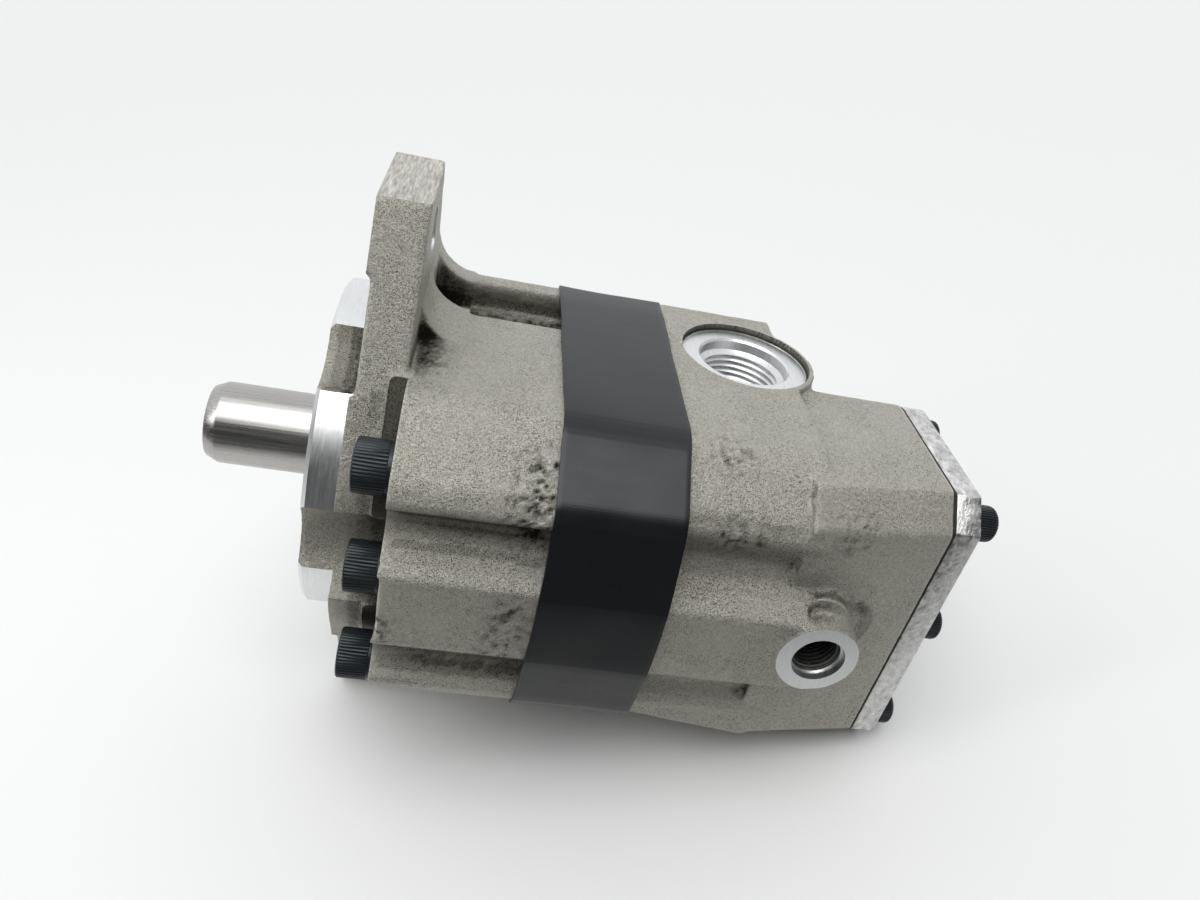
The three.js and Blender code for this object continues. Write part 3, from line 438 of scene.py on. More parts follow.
def marked_material(name, base, rough, metallic, stretch, contrast, strength=0.2, spread=0.25):
    """A cut, ground or drawn surface: colour, gloss and height follow fine tool marks."""
    thing, tree, shader = material(name, base, rough, metallic)
    marks = placed(tree, TOOL_MARKS, Stretch=stretch, Contrast=contrast)
    factor = marks.outputs["Value"]
    low = tuple(c * (1 - spread) for c in base) + (1,)
    high = tuple(min(1, c * (1 + spread)) for c in base) + (1,)
    tree.links.new(mix_colour(tree, factor, low, high), shader.inputs["Base Color"])
    gloss = math_node(tree, "MULTIPLY_ADD", factor, 0.3, rough - 0.15, clamp=True)
    tree.links.new(gloss, shader.inputs["Roughness"])
    bumped(tree, shader, factor, strength, 0.0002)
    return thing


CAST_ALUMINIUM = cast_material(
    "cast aluminium", (0.46, 0.447, 0.39), (0.026, 0.024, 0.018), 1.9, 1.0
)
# a dark copy of the cast aluminium, put on bores, seats, port recesses and drillings as painted shade
SHADE_PAINTED_ALUMINIUM = cast_material(
    "shade_painted aluminium", (0.11, 0.105, 0.085), (0.006, 0.006, 0.005), 1.2, 0.6
)
SAWN_ALUMINIUM = marked_material(
    "sawn aluminium", (0.5, 0.485, 0.44), 0.5, 0.85, (1500, 180, 180), 3.0, 0.8, 0.45
)
CUT_ALUMINIUM = marked_material(
    "machined aluminium", (0.76, 0.77, 0.77), 0.34, 1.0, (1600, 160, 160), 0.8
)
PLATE_ALUMINIUM = marked_material(
    "plate aluminium", (0.6, 0.6, 0.585), 0.42, 0.95, (500, 320, 320), 3.2, 0.6, 0.35
)
GROUND_STEEL = marked_material(
    "ground steel", (0.42, 0.41, 0.395), 0.3, 1.0, (25, 1500, 1500), 1.3, 0.08, 0.3
)
SPRING_STEEL = marked_material("spring steel", (0.3, 0.3, 0.31), 0.35, 1.0, (600, 600, 600), 0.6)
BLACK_OXIDE = marked_material(
    "black oxide steel", (0.02, 0.025, 0.029), 0.32, 0.4, (900, 900, 900), 0.8
)
BLACK_RUBBER = marked_material(
    "black rubber", (0.007, 0.008, 0.0095), 0.3, 0.0, (60, 240, 240), 0.7, 0.15
)
BLACK_RUBBER.node_tree.nodes["Principled BSDF"].inputs["Specular IOR Level"].default_value = 0.4
GASKET_FIBRE = marked_material(
    "gasket fibre", (0.02, 0.019, 0.017), 0.85, 0.0, (700, 700, 700), 0.9
)
BRONZE = marked_material("bearing bronze", (0.48, 0.28, 0.12), 0.35, 1.0, (200, 900, 900), 0.8)
FINISHES = [CAST_ALUMINIUM, CUT_ALUMINIUM, SAWN_ALUMINIUM, SHADE_PAINTED_ALUMINIUM]

# ---------- outlines ----------


def lobed(ridge_y, ridge_z):
    """Section of the lobed castings; the ridge is the bulge above the near rib."""
    half = [
        (50, 24, 8),
        (42, 36, 5),
        (TOP_RIB[1], POCKET_FLOOR + 3, 3),
        (TOP_RIB[1], HALF_HEIGHT, 3),
        (TOP_RIB[0], HALF_HEIGHT, 1.5),
        (TOP_RIB[0], POCKET_FLOOR, 3),
        (6, POCKET_FLOOR, 3),
        (4.5, HALF_HEIGHT, 2.5),
        (-49, HALF_HEIGHT, 17),
        (ridge_y + 3, ridge_z + 5.5, 9),
        (ridge_y, ridge_z, 2),
        (-63.3, 24, 4),
        (-65.3, 18, 4),
        (-NEAR_RIB, NEAR_RIB_HALF, 1.5),
    ]
    return rounded(half + [(y, -z, r) for y, z, r in reversed(half)])


def flange_outline(grow=0.0):
    corner = Vector((EAR_HALF + grow, EAR_REACH + 1.5 + grow))
    hub = HUB_RADIUS + grow
    touch = math.atan2(corner.y, corner.x) - math.acos(hub / corner.length)
    steps = 24
    side = [touch * (2 * i / steps - 1) for i in range(steps + 1)]
    arc = [(hub * math.cos(a), hub * math.sin(a), 0) for a in side]
    near = [(-y, -z, 0) for y, z, _ in arc]
    ears = [(corner.x, corner.y, 6), (-corner.x, corner.y, 6)]
    return rounded(arc + ears + near + [(-y, -z, r) for y, z, r in ears])


def cover_outline(grow=0.0, cut=8.0):
    def half(reach):
        return [
            (COVER_FAR + grow, 14, 5),
            (FAR_CORNER_Y, reach + grow, 8),
            (-COVER_NEAR + cut - grow, reach + grow, 1.5),
            (-COVER_NEAR - grow, reach - cut + grow, 1.5),
        ]

    return rounded(half(COVER_TOP) + [(y, -z, r) for y, z, r in reversed(half(COVER_LOW))])


def hull(points):
    """Convex hull of flat points, by the monotone chain."""
    spots = sorted((round(p.x, 5), round(p.y, 5)) for p in points)

    def chain(order):
        kept = []
        for p in order:
            while len(kept) > 1:
                a, b = kept[-2], kept[-1]
                if (b[0] - a[0]) * (p[1] - a[1]) - (b[1] - a[1]) * (p[0] - a[0]) > 1e-6:
                    break
                kept.pop()
            kept.append(p)
        return kept[:-1]

    return [Vector(p) for p in chain(spots) + chain(reversed(spots))]


def offset(outline, distance):
    """Moves a convex outline outwards."""
    moved = []
    for i, point in enumerate(outline):
        before = (point - outline[i - 1]).normalized()
        after = (outline[(i + 1) % len(outline)] - point).normalized()
        normal = Vector((before.y + after.y, -before.x - after.x)).normalized()
        moved.append(point + normal * distance / math.sqrt((1 + before.dot(after)) / 2))
    return moved


# ---------- casting skin ----------


def cast_shape(thing):
    """Turns joined shells into one softly rounded casting."""
    skin = thing.modifiers.new("skin", "REMESH")
    skin.mode = "VOXEL"
    skin.voxel_size = VOXEL * MM
    ease = thing.modifiers.new("ease", "SMOOTH")
    ease.factor = 0.5
    ease.iterations = EASING_ROUNDS
    settled(thing)
    thing.data.materials.clear()
    for finish in FINISHES:
        thing.data.materials.append(finish)
    return thing


def roughened(thing, flash_height, dings):
    """Gives the casting its waviness, a parting line of torn flash and a field of dings."""
    mesh = thing.data
    normals = [v.normal.copy() for v in mesh.vertices]
    for v, normal in zip(mesh.vertices, normals):
        p = v.co / MM
        d = 0.10 * noise.noise(p / 7) + 0.07 * noise.noise(p / 2.2)
        if p.y < -20 and flash_height:
            gap = abs(abs(p.z) - FLASH_Z - 0.8 * noise.noise(Vector((p.x / 9, 0, 3))))
            torn = noise.noise(Vector((p.x / 5.0, 7.0 * (p.z > 0), 1))) + 0.25
            d += flash_height * max(0, torn) * max(0, 1 - gap / 1.1)
        for spot, reach, depth in dings:
            away = (p - spot).length
            if away < reach:
                crumb = noise.noise(p / 1.7) * 0.5 + noise.noise(p / 3.3 + spot) * 0.5
                d -= depth * (1 - away / reach) * max(0.0, crumb * 2.4)
        v.co += normal * d * MM
    return thing


def scarred(p, scars):
    """How torn and dirty the skin is at a point."""
    total = 0.0
    for spot, size in scars:
        near = 1 - (p - spot).length / size
        if near > 0:
            total += 0.9 * near * max(0.0, noise.noise(p / 2.1) + 0.7 * noise.noise(p / 0.9) + 0.05)
    return total


def painted_shade_and_grime(thing, scars):
    """Stores how shut in each point is, as painted shade, plus the dirt of its scars, as a point
    attribute.
    """
    mesh = thing.data
    tree = BVHTree.FromPolygons([v.co for v in mesh.vertices], [p.vertices for p in mesh.polygons])
    golden = math.pi * (3 - math.sqrt(5))
    rays = []
    for i in range(SHADE_RAYS):
        up = math.sqrt(1 - (i + 0.5) / SHADE_RAYS)
        flat = math.sqrt(1 - up * up)
        rays.append(Vector((flat * math.cos(golden * i), flat * math.sin(golden * i), up)))
    values = []
    for v in mesh.vertices:
        turn = v.normal.to_track_quat("Z", "Y").to_matrix()
        start = v.co + v.normal * 0.3 * MM
        # rays that hit nearby parts of the casting darken the point: painted shade in recesses and
        # corners; scars add real dirt
        shut = sum(1 for ray in rays if tree.ray_cast(start, turn @ ray, SHADE_REACH * MM)[0])
        values.append(min(1.6, max(0.0, shut / SHADE_RAYS * 1.6 - 0.12) + scarred(v.co / MM, scars)))
    mesh.attributes.new("shade_and_grime", "FLOAT", "POINT").data.foreach_set("value", values)


def edge_wear(thing):
    """Stores how sharp an outer edge each point is on, as the attribute worn."""
    mesh = thing.data
    sums = [0.0] * len(mesh.vertices)
    counts = [0] * len(mesh.vertices)
    for edge in mesh.edges:
        a, b = (mesh.vertices[i] for i in edge.vertices)
        along = (a.co - b.co).normalized()
        for v, bend in ((a, a.normal.dot(along)), (b, -b.normal.dot(along))):
            sums[v.index] += bend
            counts[v.index] += 1
    bends = [5 * total / max(1, n) - 0.7 for total, n in zip(sums, counts)]
    ridges = mesh.attributes.new("worn", "FLOAT", "POINT")
    ridges.data.foreach_set("value", [min(1.0, max(0.0, bend)) for bend in bends])


# places where the skin is torn and dirty, each with its reach
FRONT_SCARS = [
    (Vector((96, -66, 34)), 13),
    (Vector((97, -68, 25)), 11),
    (Vector((98, -60, 41)), 11),
    (Vector((95, -74, 4)), 9),
    (Vector((94, -72, -8)), 10),
    (Vector((97, 15, 39)), 16),
    (Vector((62, -60, 30)), 10),
    (Vector((61, -72, -6)), 9),
]
REAR_SCARS = [
    (Vector((180, -60, 36)), 9),
    (Vector((150, -68, 33)), 12),
    (Vector((146, -50, 46)), 8),
    (Vector((171, -66, 12)), 6),
]

# ---------- front housing ----------


def pilot_notches():
    cuts = []
    for i in range(NOTCH_COUNT):
        angle = 2 * math.pi * i / NOTCH_COUNT + math.pi
        centre = (NOTCH_CENTRE * math.cos(angle), NOTCH_CENTRE * math.sin(angle))
        depth = FLANGE_BACK + 0.5 if i == 0 else MOUNT_FACE + 1.2
        cuts.append(rod(NOTCH_RADIUS, 30, depth, centre, 64))
    return cuts


def ear_blend():
    """Concave blend from the back of an ear down to the body."""
    radius = 13.0
    profile = [(FLANGE_BACK - 1, 36), (FLANGE_BACK + radius, 36), (FLANGE_BACK + radius, HALF_HEIGHT)]
    for i in range(9):
        angle = -math.pi / 2 - math.pi / 2 * i / 8
        x = FLANGE_BACK + radius + radius * math.cos(angle)
        profile.append((x, HALF_HEIGHT + radius + radius * math.sin(angle)))
    profile.append((FLANGE_BACK - 1, HALF_HEIGHT + radius))
    return prism([Vector(p) for p in profile], -18, TOP_RIB[1], "y")


def front_housing():
    body = made("front casting", prism(lobed(-70.3, 30), FLANGE_BACK - 4, JOINT + 1))
    boolean(body, prism(flange_outline(), MOUNT_FACE - 1.5, FLANGE_BACK), "UNION", CAST)
    boolean(body, rod(PILOT_RADIUS + 1.2, PILOT_FACE - 1, MOUNT_FACE + 1), "UNION", CAST)
    boolean(body, ear_blend(), "UNION", CAST)
    boolean(body, mirrored_z(ear_blend()), "UNION", CAST)
    for cut in pilot_notches():
        boolean(body, cut, "DIFFERENCE", CAST)
    for sign in (1, -1):
        low, high = sorted((sign * POCKET_FLOOR, sign * (HALF_HEIGHT + 14)))
        pocket = box((FLANGE_BACK + 1, 7, low), (FLANGE_BACK + 16, 26.5, high))
        boolean(body, pocket, "DIFFERENCE", CAST)
    cast_shape(body)
    dings = [(spot, size / 1.6, 0.13 * size) for spot, size in FRONT_SCARS]
    roughened(body, 0.35, dings)
    return machined_front(body)


def machined_front(body):
    face = [
        (PILOT_FACE, 0), (PILOT_FACE, PILOT_RADIUS - 1.2), (PILOT_FACE + 1.2, PILOT_RADIUS),
        (MOUNT_FACE, PILOT_RADIUS), (MOUNT_FACE, 110), (AHEAD, 110), (AHEAD, 0),
    ]
    boolean(body, turned(face, steps=160))
    # everything ahead of the body that lies outside the flange
    beyond = made("beyond", box((AHEAD, -95, -62), (FLANGE_BACK, -20, 62)), CUT)
    for finish in FINISHES:
        beyond.data.materials.append(finish)
    boolean(beyond, prism(flange_outline(0.6), 10, 70), "DIFFERENCE", CUT)
    settled(beyond)
    bm = bmesh.new()
    bm.from_mesh(beyond.data)
    bmesh.ops.scale(bm, verts=bm.verts, vec=(1 / MM,) * 3)
    bpy.data.objects.remove(beyond)
    boolean(body, bm, slot_index=SHADE_PAINTED)
    boolean(body, box((AHEAD, -40, EAR_REACH), (90, 40, 110)), slot_index=SAWN)
    boolean(body, box((AHEAD, -40, -110), (90, 40, -EAR_REACH)), slot_index=SAWN)
    boolean(body, box((JOINT, -100, -80), (JOINT + 10, 100, 80)))
    bore, groove = SEAL + FIT_GAP, SEAL + RING_GROOVE_DEPTH + FIT_GAP
    ring_front, ring_back = RING_GROOVE
    boolean(body, turned([
        (AHEAD, 0), (AHEAD, SEAL + 1.2), (PILOT_FACE, SEAL + 1.2), (PILOT_FACE + 1, bore),
        (ring_front, bore), (ring_front, groove), (ring_back, groove), (ring_back, bore),
        (SEAL_POCKET_END, bore), (SEAL_POCKET_END, SHAFT + 2), (PAST_JOINT, SHAFT + 2), (PAST_JOINT, 0),
    ]))
    for y in (0, DRIVEN_Y):
        boolean(body, rod(CHAMBER, CHAMBER_FRONT, PAST_JOINT, (y, 0)))
    for sign in (1, -1):
        boolean(body, rod(MOUNT_HOLE, AHEAD, 90, (0, sign * MOUNT_HOLE_Z), 64))
    for place in NEAR_TIES:
        boolean(body, rod(TIE_SEAT, AHEAD, FLANGE_BACK, place, 64), slot_index=SHADE_PAINTED)
        boolean(body, rod(TIE_CLEAR, 50, PAST_JOINT, place, 32))
    for place in FAR_TIES:
        boolean(body, rod(TIE_TAPPED, 90, PAST_JOINT, place, 32))
    for place in DOWELS:
        boolean(body, rod(DOWEL_BORE, DOWEL_FROM, PAST_JOINT, place, 32))
    settled(body)
    painted_shade_and_grime(body, FRONT_SCARS)
    edge_wear(body)
    return piece("front_casting", body, None, ["front_housing"])


# ---------- rear housing ----------


def port_tool(mouth, mouth_depth, thread, depth, pitch, spot, groove):
    """Profile of a port cutter along +x, from the sunk face down to the end of its thread."""
    profile = [(-6, 0), (-6, spot), (0, spot), (0, mouth + 0.6), (0.6, mouth)]
    profile += [(mouth_depth, mouth - 0.1), (mouth_depth + 0.5, thread + 0.2)]
    at = mouth_depth + 1.0
    while at + pitch < depth - 1.5:
        crest = thread - groove
        profile += [(at, crest), (at + 0.25, crest)]
        profile += [(at + pitch / 2, thread), (at + pitch / 2 + 0.2, thread)]
        at += pitch
    profile += [(depth, thread - 1), (depth, 0)]
    return turned(profile, steps=96)


def rear_housing():
    ridge = lobed(-66.5, 32)
    body = made("rear casting", prism(ridge, REAR_START - 1, SHOULDER))
    block = prism(cover_outline(0.4, 9), SHOULDER - 5, REAR_END + 1)
    for v in block.verts:
        if v.co.x < SHOULDER and v.co.y < 10 - COVER_NEAR:
            v.co.y -= REAR_TAPER
    boolean(body, block, "UNION", CAST)
    # the lower near corner runs straight from the sleeve into the block
    corner = [(-65.6, -42.4), (-65.6, -30), (-20, -30), (-20, -50.4), (-56.4, -50.4)]
    fairing = prism(corner, SLEEVE_END + 1, SHOULDER)
    for v in fairing.verts:
        if v.co.x < SHOULDER - 1 and v.co.z < -40:
            v.co.z += 0.8 if v.co.y > -60 else 3.0
            v.co.y += 2.0 if v.co.y < -50 else 0.0
    boolean(body, fairing, "UNION", CAST)
    x, y = LARGE_PORT
    for sign in (1, -1):
        low, high = sorted((sign * 24, sign * HALF_HEIGHT))
        collar = aimed(rod(LARGE_SPOT + 1.6, low, high), (0, 0, 1), (x, y, 0))
        boolean(body, collar, "UNION", CAST)
        boolean(body, box((SLEEVE_END + 0.2, y - 2, low), (SHOULDER, TOP_RIB[1], high)), "UNION", CAST)
    boss = [
        (40, 0), (40, SMALL_SPOT + 6), (61, SMALL_SPOT + 4), (66, SMALL_SPOT + 0.6),
        (SMALL_FACE + 1, SMALL_SPOT), (SMALL_FACE + 1, 0),
    ]
    boolean(body, aimed(turned(boss), (0, -1, 0), (SMALL_PORT_X, 0, SMALL_PORT_Z)), "UNION", CAST)
    rib = box((SHOULDER - 16, -NEAR_RIB, -NEAR_RIB_HALF), (SMALL_PORT_X, -40, NEAR_RIB_HALF))
    boolean(body, rib, "UNION", CAST)
    hump = aimed(rod(9, 40, 68.5, steps=48), (0, -1, 0), (SMALL_PORT_X - 1, 0, 8.5))
    boolean(body, hump, "UNION", CAST)
    cast_shape(body)
    dings = [(spot, size / 1.6, 0.1 * size) for spot, size in REAR_SCARS]
    roughened(body, 0.45, dings)
    return machined_rear(body)


def machined_rear(body):
    x, y = LARGE_PORT
    boolean(body, box((REAR_START - 10, -100, -80), (REAR_START, 100, 80)))
    boolean(body, box((REAR_END, -100, -80), (REAR_END + 10, 100, 80)))
    for sign in (1, -1):
        recess = rod(LARGE_SPOT, sign * (LARGE_FACE + 0.15), sign * (LARGE_FACE + 8))
        boolean(body, aimed(recess, (0, 0, 1), (x, y, 0)), slot_index=SHADE_PAINTED)
        port = port_tool(LARGE_MOUTH, 3.5, LARGE_THREAD, 21, 2.1, LARGE_SPOT - 0.7, 1.0)
        boolean(body, aimed(port, (0, 0, -sign), (x, y, sign * LARGE_FACE)))
        way = rod(7.5, 0, 34, steps=48)
        aim = Vector((0, -0.75, -0.66 * sign)).normalized()
        boolean(body, aimed(way, aim, (x, y - 2, sign * (LARGE_FACE - 17))), slot_index=SHADE_PAINTED)
    mouth = rod(SMALL_MOUTH, SMALL_FACE - 2.6, SMALL_FACE + 1, steps=64)
    spot = rod(SMALL_SPOT + 3, SMALL_FACE, SMALL_FACE + 8, steps=64)
    for cut in (spot, mouth):
        boolean(body, aimed(cut, (0, -1, 0), (SMALL_PORT_X, 0, SMALL_PORT_Z)))
    thread = port_tool(SMALL_THREAD + 0.2, 0.2, SMALL_THREAD, 17, 1.4, SMALL_THREAD + 0.2, 0.45)
    place = (SMALL_PORT_X, 2.8 - SMALL_FACE, SMALL_PORT_Z)
    boolean(body, aimed(thread, (0, 1, 0), place), slot_index=SHADE_PAINTED)
    drilling = rod(2.5, 0, 14, steps=32)
    place = (SMALL_PORT_X, -SMALL_FACE + 16, SMALL_PORT_Z)
    boolean(body, aimed(drilling, (0, 1, 0), place), slot_index=SHADE_PAINTED)
    for centre in (0, DRIVEN_Y):
        boolean(body, rod(CHAMBER, BEFORE_JOINT, CHAMBER_BACK, (centre, 0)))
        gallery = rod(GALLERY_RADIUS, REAR_END - GALLERY_DEPTH, REAR_END + 10, (centre, 0))
        boolean(body, gallery)
    for place in NEAR_TIES:
        boolean(body, rod(TIE_TAPPED, BEFORE_JOINT, NEAR_TIE_END, place, 32))
    for place in FAR_TIES:
        boolean(body, rod(TIE_CLEAR, BEFORE_JOINT, SHOULDER + 5, place, 32))
        boolean(body, rod(9, SHOULDER, REAR_END + 5, place, 48))
    for place in DOWELS:
        boolean(body, rod(DOWEL_BORE, BEFORE_JOINT, DOWEL_TO, place, 32))
    for place in COVER_SCREWS:
        tapped = rod(COVER_TAPPED, REAR_END - COVER_TAP_DEPTH, REAR_END + 10, place, 32)
        boolean(body, tapped)
    settled(body)
    painted_shade_and_grime(body, REAR_SCARS)
    edge_wear(body)
    return piece("rear_casting", body, None, ["rear_housing"])


# ---------- cover, gaskets, sleeve ----------


def end_cover():
    plate = bevelled(prism(cover_outline(), COVER_START, COVER_END), 0.5, 2)
    cover = made("end cover", plate)
    for place in COVER_SCREWS:
        boolean(cover, rod(COVER_CLEAR, 190, 240, place, 48))
    settled(cover)
    return piece("end_plate", cover, PLATE_ALUMINIUM, ["end_cover"])


def joint_sleeve():
    """A rubber band pulled over both castings; it bows a little between its edges."""
    outline = offset(hull(lobed(-70.3, 30)), 1.35 - 0.25)
    bm = bmesh.new()
    ring = [bm.verts.new((SLEEVE_START + 0.4, p.x, p.y)) for p in outline]
    edges = [bm.edges.new((ring[i - 1], ring[i])) for i in range(len(ring))]
    bmesh.ops.subdivide_edges(bm, edges=edges, cuts=5, use_grid_fill=False)
    rows = 24
    width = SLEEVE_END - SLEEVE_START - 0.8
    front = list(bm.edges)
    for _ in range(rows):
        grown = bmesh.ops.extrude_edge_only(bm, edges=front)
        verts = [g for g in grown["geom"] if isinstance(g, bmesh.types.BMVert)]
        front = [g for g in grown["geom"] if isinstance(g, bmesh.types.BMEdge)]
        front = [e for e in front if all(v in set(verts) for v in e.verts)]
        bmesh.ops.translate(bm, verts=verts, vec=(width / rows, 0, 0))
    bmesh.ops.recalc_face_normals(bm, faces=bm.faces)
    bm.normal_update()
    for v in bm.verts:
        along = (v.co.x - SLEEVE_START) / (SLEEVE_END - SLEEVE_START)
        wave = 0.25 * noise.noise(Vector((v.co.x / 14, v.co.y / 18, v.co.z / 18)))
        v.co += v.normal * (wave - 0.25 * math.sin(math.pi * along))
        v.co.x += 0.35 * noise.noise(Vector((0, v.co.y / 16, v.co.z / 16)))
    band = made("sleeve", bm)
    wall = band.modifiers.new("wall", "SOLIDIFY")
    wall.thickness = 1.2 * MM
    wall.offset = -1
    edge = band.modifiers.new("edge", "BEVEL")
    edge.width = 0.35 * MM
    edge.segments = 2
    edge.limit_method = "ANGLE"
    settled(band)
    return piece("rubber_sleeve", band, BLACK_RUBBER, ["joint_sleeve"])


# ---------- shaft, key, seal and ring ----------


def gear_outline(centre_y, turn):
    """Ten involute teeth about an axis at centre_y."""
    teeth, module, angle = 10, 3.2, math.radians(28)
    pitch = module * teeth / 2
    base, root, tip = pitch * math.cos(angle), pitch - 1.2 * module, pitch + module
    half = math.pi / (2 * teeth) - 0.13 / pitch

    def bend(radius):
        a = math.acos(min(1, base / radius))
        return half + (math.tan(angle) - angle) - (math.tan(a) - a)

    radii = [root] + [base + (tip - base) * i / 7 for i in range(8)]
    points = []
    for tooth in range(teeth):
        middle = turn + 2 * math.pi * tooth / teeth
        for side, order in ((-1, radii), (1, radii[::-1])):
            for radius in order:
                a = middle + side * bend(max(radius, base))
                points.append(Vector((centre_y + radius * math.cos(a), radius * math.sin(a))))
    return points


def drive_shaft():
    shaft = made("drive shaft", turned([
        (0, 0), (0, SHAFT - 1.8), (0.25, SHAFT - 1.6), (3.4, SHAFT - 0.12), (3.8, SHAFT),
        (SHAFT_STEP, SHAFT), (SHAFT_STEP + 2, JOURNAL),
        (SHAFT_END - 1, JOURNAL), (SHAFT_END, JOURNAL - 1), (SHAFT_END, 0),
    ], steps=160))
    boolean(shaft, prism(gear_outline(0, math.pi), GEAR_FRONT, GEAR_BACK), "UNION", 0)
    boolean(shaft, box((6.65, SHAFT - 3.175, -3.325), (34.95, SHAFT + 3, 3.325)), slot_index=0)
    dimple = turned([(-2, 0), (-2, 3.6), (0, 1.6), (1.6, 0)], steps=48)
    boolean(shaft, dimple, slot_index=0)
    settled(shaft)
    return piece("drive_shaft", shaft, GROUND_STEEL, ["drive_gear_shaft"], "drive")


def shaft_key():
    low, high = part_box("shaft_key")
    key = made("key", bevelled(box(low / MM, high / MM), 0.35, 2))
    return piece("square_key", key, GROUND_STEEL, ["shaft_key"], "drive")


def shaft_seal():
    x0, lip = edge_mm("shaft_seal", 0, False), SHAFT + 0.25
    x1 = edge_mm("shaft_seal", 0, True)
    section = [
        (x0, SEAL - 0.4), (x0 + 0.4, SEAL), (x1, SEAL), (x1, SEAL - 2), (x0 + 2, SEAL - 2),
        (x0 + 2, lip + 2.6),
        (x1 - 1.5, lip + 1.8), (x1 - 1.5, lip), (x0 + 1, lip + 0.5), (x0, lip + 0.9), (x0, lip + 2.2),
        (x0 + 0.5, lip + 2.8), (x0 + 0.5, SEAL - 2.6), (x0, SEAL - 2),
    ]
    seal = made("seal", turned(section, closed=True))
    return piece("lip_seal", seal, BLACK_RUBBER, ["shaft_seal"])


def retaining_ring():
    x0 = edge_mm("seal_retaining_ring", 0, False)
    x1 = edge_mm("seal_retaining_ring", 0, True)
    outer, inner = SEAL + 1.6, SEAL - 2.6
    section = [(x0, inner), (x0, outer), (x1, outer), (x1, inner)]
    ring = made("ring", turned(section, closed=True, steps=128))
    boolean(ring, box((x0 - 1, -4, -outer - 1), (x1 + 1, 4, -10)), slot_index=0)
    settled(ring)
    return piece("snap_ring", ring, SPRING_STEEL, ["seal_retaining_ring"])


# ---------- cap screws ----------


def cap_screw(name, node, seat, place, direction, size):
    """Knurled socket head cap screw whose head seats at x = seat."""
    head, tall, shank, length, edge = size
    teeth = 44
    profile = [(-tall, 0), (-tall, head - edge)]
    for i in range(1, 4):
        angle = math.pi / 2 * i / 3
        profile.append((-tall + edge * (1 - math.cos(angle)), head - edge + edge * math.sin(angle)))
    profile += [(-1.1, head), (-0.9, head - 0.25), (0, head - 0.3), (0, shank)]
    profile += [(length - 1, shank), (length, shank - 1), (length, 0)]
    bm = turned(profile, steps=teeth * 3)
    for v in bm.verts:
        radius = math.hypot(v.co.y, v.co.z)
        if abs(radius - head) < 0.02:
            index = round(math.atan2(v.co.z, v.co.y) / (2 * math.pi) * teeth * 3)
            if index % 3 == 0:
                v.co.y *= (head - 0.28) / head
                v.co.z *= (head - 0.28) / head
    socket = prism(regular(shank * 0.92, 6), -tall - 1, -tall * 0.45)
    if direction < 0:
        for part in (bm, socket):
            bmesh.ops.scale(part, verts=part.verts, vec=(-1, 1, 1))
            bmesh.ops.reverse_faces(part, faces=part.faces)
    bmesh.ops.translate(bm, verts=bm.verts, vec=(seat, *place))
    bmesh.ops.translate(socket, verts=socket.verts, vec=(seat, *place))
    screw = made(name, bm)
    boolean(screw, socket, slot_index=0)
    settled(screw)
    return piece(name, screw, BLACK_OXIDE, [node])


def screws():
    tie, small = (7.15, 9.5, 4.75, 76.0, 0.8), (5.2, 7.4, 3.0, 16.0, 1.5)
    for i, place in enumerate(NEAR_TIES, 1):
        cap_screw(f"front_tie_{i}", f"front_cap_screw_{i}", FLANGE_BACK - FIT_GAP, place, 1, tie)
    for i, place in enumerate(FAR_TIES, 1):
        cap_screw(f"rear_tie_{i}", f"rear_cap_screw_{i}", SHOULDER + FIT_GAP, place, -1, tie)
    for i, place in enumerate(COVER_SCREWS, 1):
        cap_screw(f"cover_bolt_{i}", f"cover_screw_{i}", COVER_END + FIT_GAP, place, -1, small)


# ---------- nodes that stay as they are ----------


def inner_pieces():
    finishes = {
        "end_cover_gasket": GASKET_FIBRE, "joint_gasket": GASKET_FIBRE, "driven_gear_shaft": GROUND_STEEL,
        "front_bearing_block": PLATE_ALUMINIUM, "rear_bearing_block": PLATE_ALUMINIUM,
        "front_pressure_seal": BLACK_RUBBER, "rear_pressure_seal": BLACK_RUBBER,
        "front_drive_bush": BRONZE, "front_driven_bush": BRONZE, "rear_drive_bush": BRONZE,
        "rear_driven_bush": BRONZE, "joint_dowel_1": GROUND_STEEL, "joint_dowel_2": GROUND_STEEL,
    }
    for name, finish in finishes.items():
        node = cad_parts[name]
        node.data.materials.clear()
        node.data.materials.append(finish)


# ---------- studio ----------


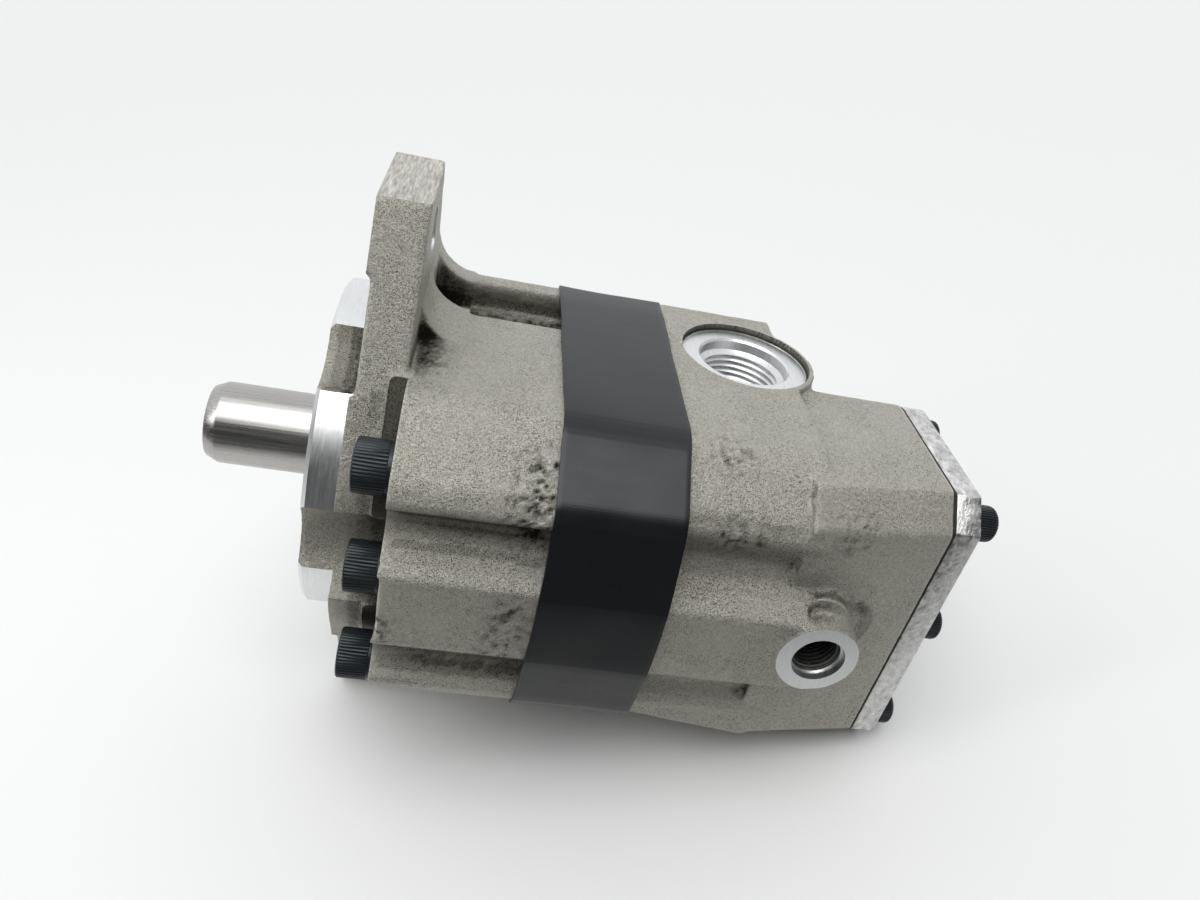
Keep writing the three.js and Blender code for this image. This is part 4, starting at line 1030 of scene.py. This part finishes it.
def floor():
    """A pale table under the pump, which lies on its lower ear and the edge of its cover."""
    ear = Vector((FLANGE_BACK, 0, -EAR_REACH)) * MM
    cover = Vector((COVER_END, 0, -COVER_LOW)) * MM
    along = (cover - ear).normalized()
    up = Vector((-along.z, 0, along.x))
    bm = bmesh.new()
    bmesh.ops.create_grid(bm, x_segments=1, y_segments=1, size=6)
    turn = Matrix((along, Vector((0, 1, 0)), up)).transposed()
    bmesh.ops.rotate(bm, verts=bm.verts, cent=(0, 0, 0), matrix=turn)
    bmesh.ops.translate(bm, verts=bm.verts, vec=ear - up * 0.0002)
    mesh = bpy.data.meshes.new("table")
    bm.to_mesh(mesh)
    bm.free()
    table = bpy.data.objects.new("table", mesh)
    bpy.context.scene.collection.objects.link(table)
    pale, tree, shader = material("pale table", (0.8, 0.8, 0.795), 0.6, 0.0)
    where = tree.nodes.new("ShaderNodeTexCoord").outputs["Object"]
    parted = tree.nodes.new("ShaderNodeSeparateXYZ")
    tree.links.new(where, parted.inputs[0])
    # the table stays pale to the camera, but is painted dark in reflections close to the viewer and
    # darker for bounced light: painted reflection and painted shade
    close = ramp(tree, parted.outputs["Y"], -0.2, -0.07)
    path = tree.nodes.new("ShaderNodeLightPath")
    distant = math_node(tree, "SUBTRACT", 1.0, close)
    mirrored = math_node(tree, "MULTIPLY", path.outputs["Is Glossy Ray"], distant)
    painted_darkness = math_node(tree, "MULTIPLY_ADD", path.outputs["Is Diffuse Ray"], 0.65, mirrored, clamp=True)
    tone = mix_colour(tree, painted_darkness, (0.66, 0.66, 0.655, 1), (0.03, 0.03, 0.032, 1))
    tree.links.new(tone, shader.inputs["Base Color"])
    table.data.materials.append(pale)
    return up, along


def area_light(name, place, aim, width, height, power):
    data = bpy.data.lights.new(name, "AREA")
    data.shape = "RECTANGLE"
    data.size, data.size_y = width, height
    data.energy = power
    lamp = bpy.data.objects.new(name, data)
    lamp.location = place
    lamp.rotation_mode = "QUATERNION"
    lamp.rotation_quaternion = (Vector(aim) - Vector(place)).to_track_quat("-Z", "Y")
    bpy.context.scene.collection.objects.link(lamp)


def studio():
    up, along = floor()
    centre = Vector((0.12, -0.01, 0.0))
    near = Vector((0, -1, 0))
    sun = bpy.data.lights.new("overhead", "SUN")
    sun.energy = 1.9
    sun.angle = math.radians(55)
    lamp = bpy.data.objects.new("overhead", sun)
    lamp.rotation_mode = "QUATERNION"
    lamp.rotation_quaternion = (-(up * 0.93 + near * 0.36)).to_track_quat("-Z", "Y")
    bpy.context.scene.collection.objects.link(lamp)
    area_light("strip", centre + up * 0.5 + near * 0.25 - along * 0.55, centre, 0.12, 0.5, 1.2)
    world = bpy.data.worlds.new("soft room")
    world.use_nodes = True
    room_light(world.node_tree, up, near)
    bpy.context.scene.world = world
    bpy.context.scene.view_settings.view_transform = "Standard"


def room_light(tree, up, near):
    """A room that is bright overhead and dim behind the viewer, and shows as plain pale grey."""
    sky = tree.nodes["Background"]
    where = tree.nodes.new("ShaderNodeTexCoord").outputs["Generated"]
    rise = tree.nodes.new("ShaderNodeVectorMath")
    rise.operation = "DOT_PRODUCT"
    tree.links.new(where, rise.inputs[0])
    rise.inputs[1].default_value = up * 0.8 - near * 0.6
    level = ramp(tree, rise.outputs["Value"], 0.0, 0.6)
    glow = math_node(tree, "MULTIPLY_ADD", level, 0.95, 0.05)
    seen = tree.nodes.new("ShaderNodeLightPath").outputs["Is Camera Ray"]
    pale = math_node(tree, "MULTIPLY", seen, 0.8)
    rest = math_node(tree, "MULTIPLY", math_node(tree, "SUBTRACT", 1.0, seen), glow)
    tree.links.new(math_node(tree, "ADD", pale, rest), sky.inputs["Strength"])
    sky.inputs["Color"].default_value = (0.97, 0.98, 1, 1)


def camera():
    turn, tilt, roll = math.radians(10.81), math.radians(32.39), math.radians(14.25)
    ahead = Vector((math.sin(turn) * math.cos(tilt), math.cos(turn) * math.cos(tilt), -math.sin(tilt)))
    level = Vector((math.cos(turn), -math.sin(turn), 0))
    high = level.cross(ahead)
    right = level * math.cos(roll) + high * math.sin(roll)
    top = high * math.cos(roll) - level * math.sin(roll)
    data = bpy.data.cameras.new("camera")
    data.sensor_width = 36
    data.lens = 27.46
    data.clip_start = 0.01
    eye = bpy.data.objects.new("camera", data)
    place = Matrix((right, top, -ahead)).transposed().to_4x4()
    place.translation = Vector((73.47, -246.59, 169.19)) * MM
    eye.matrix_world = place
    bpy.context.scene.collection.objects.link(eye)
    bpy.context.scene.camera = eye


front_housing()
rear_housing()
end_cover()
joint_sleeve()
drive_shaft()
shaft_key()
shaft_seal()
retaining_ring()
screws()
inner_pieces()
studio()
camera()
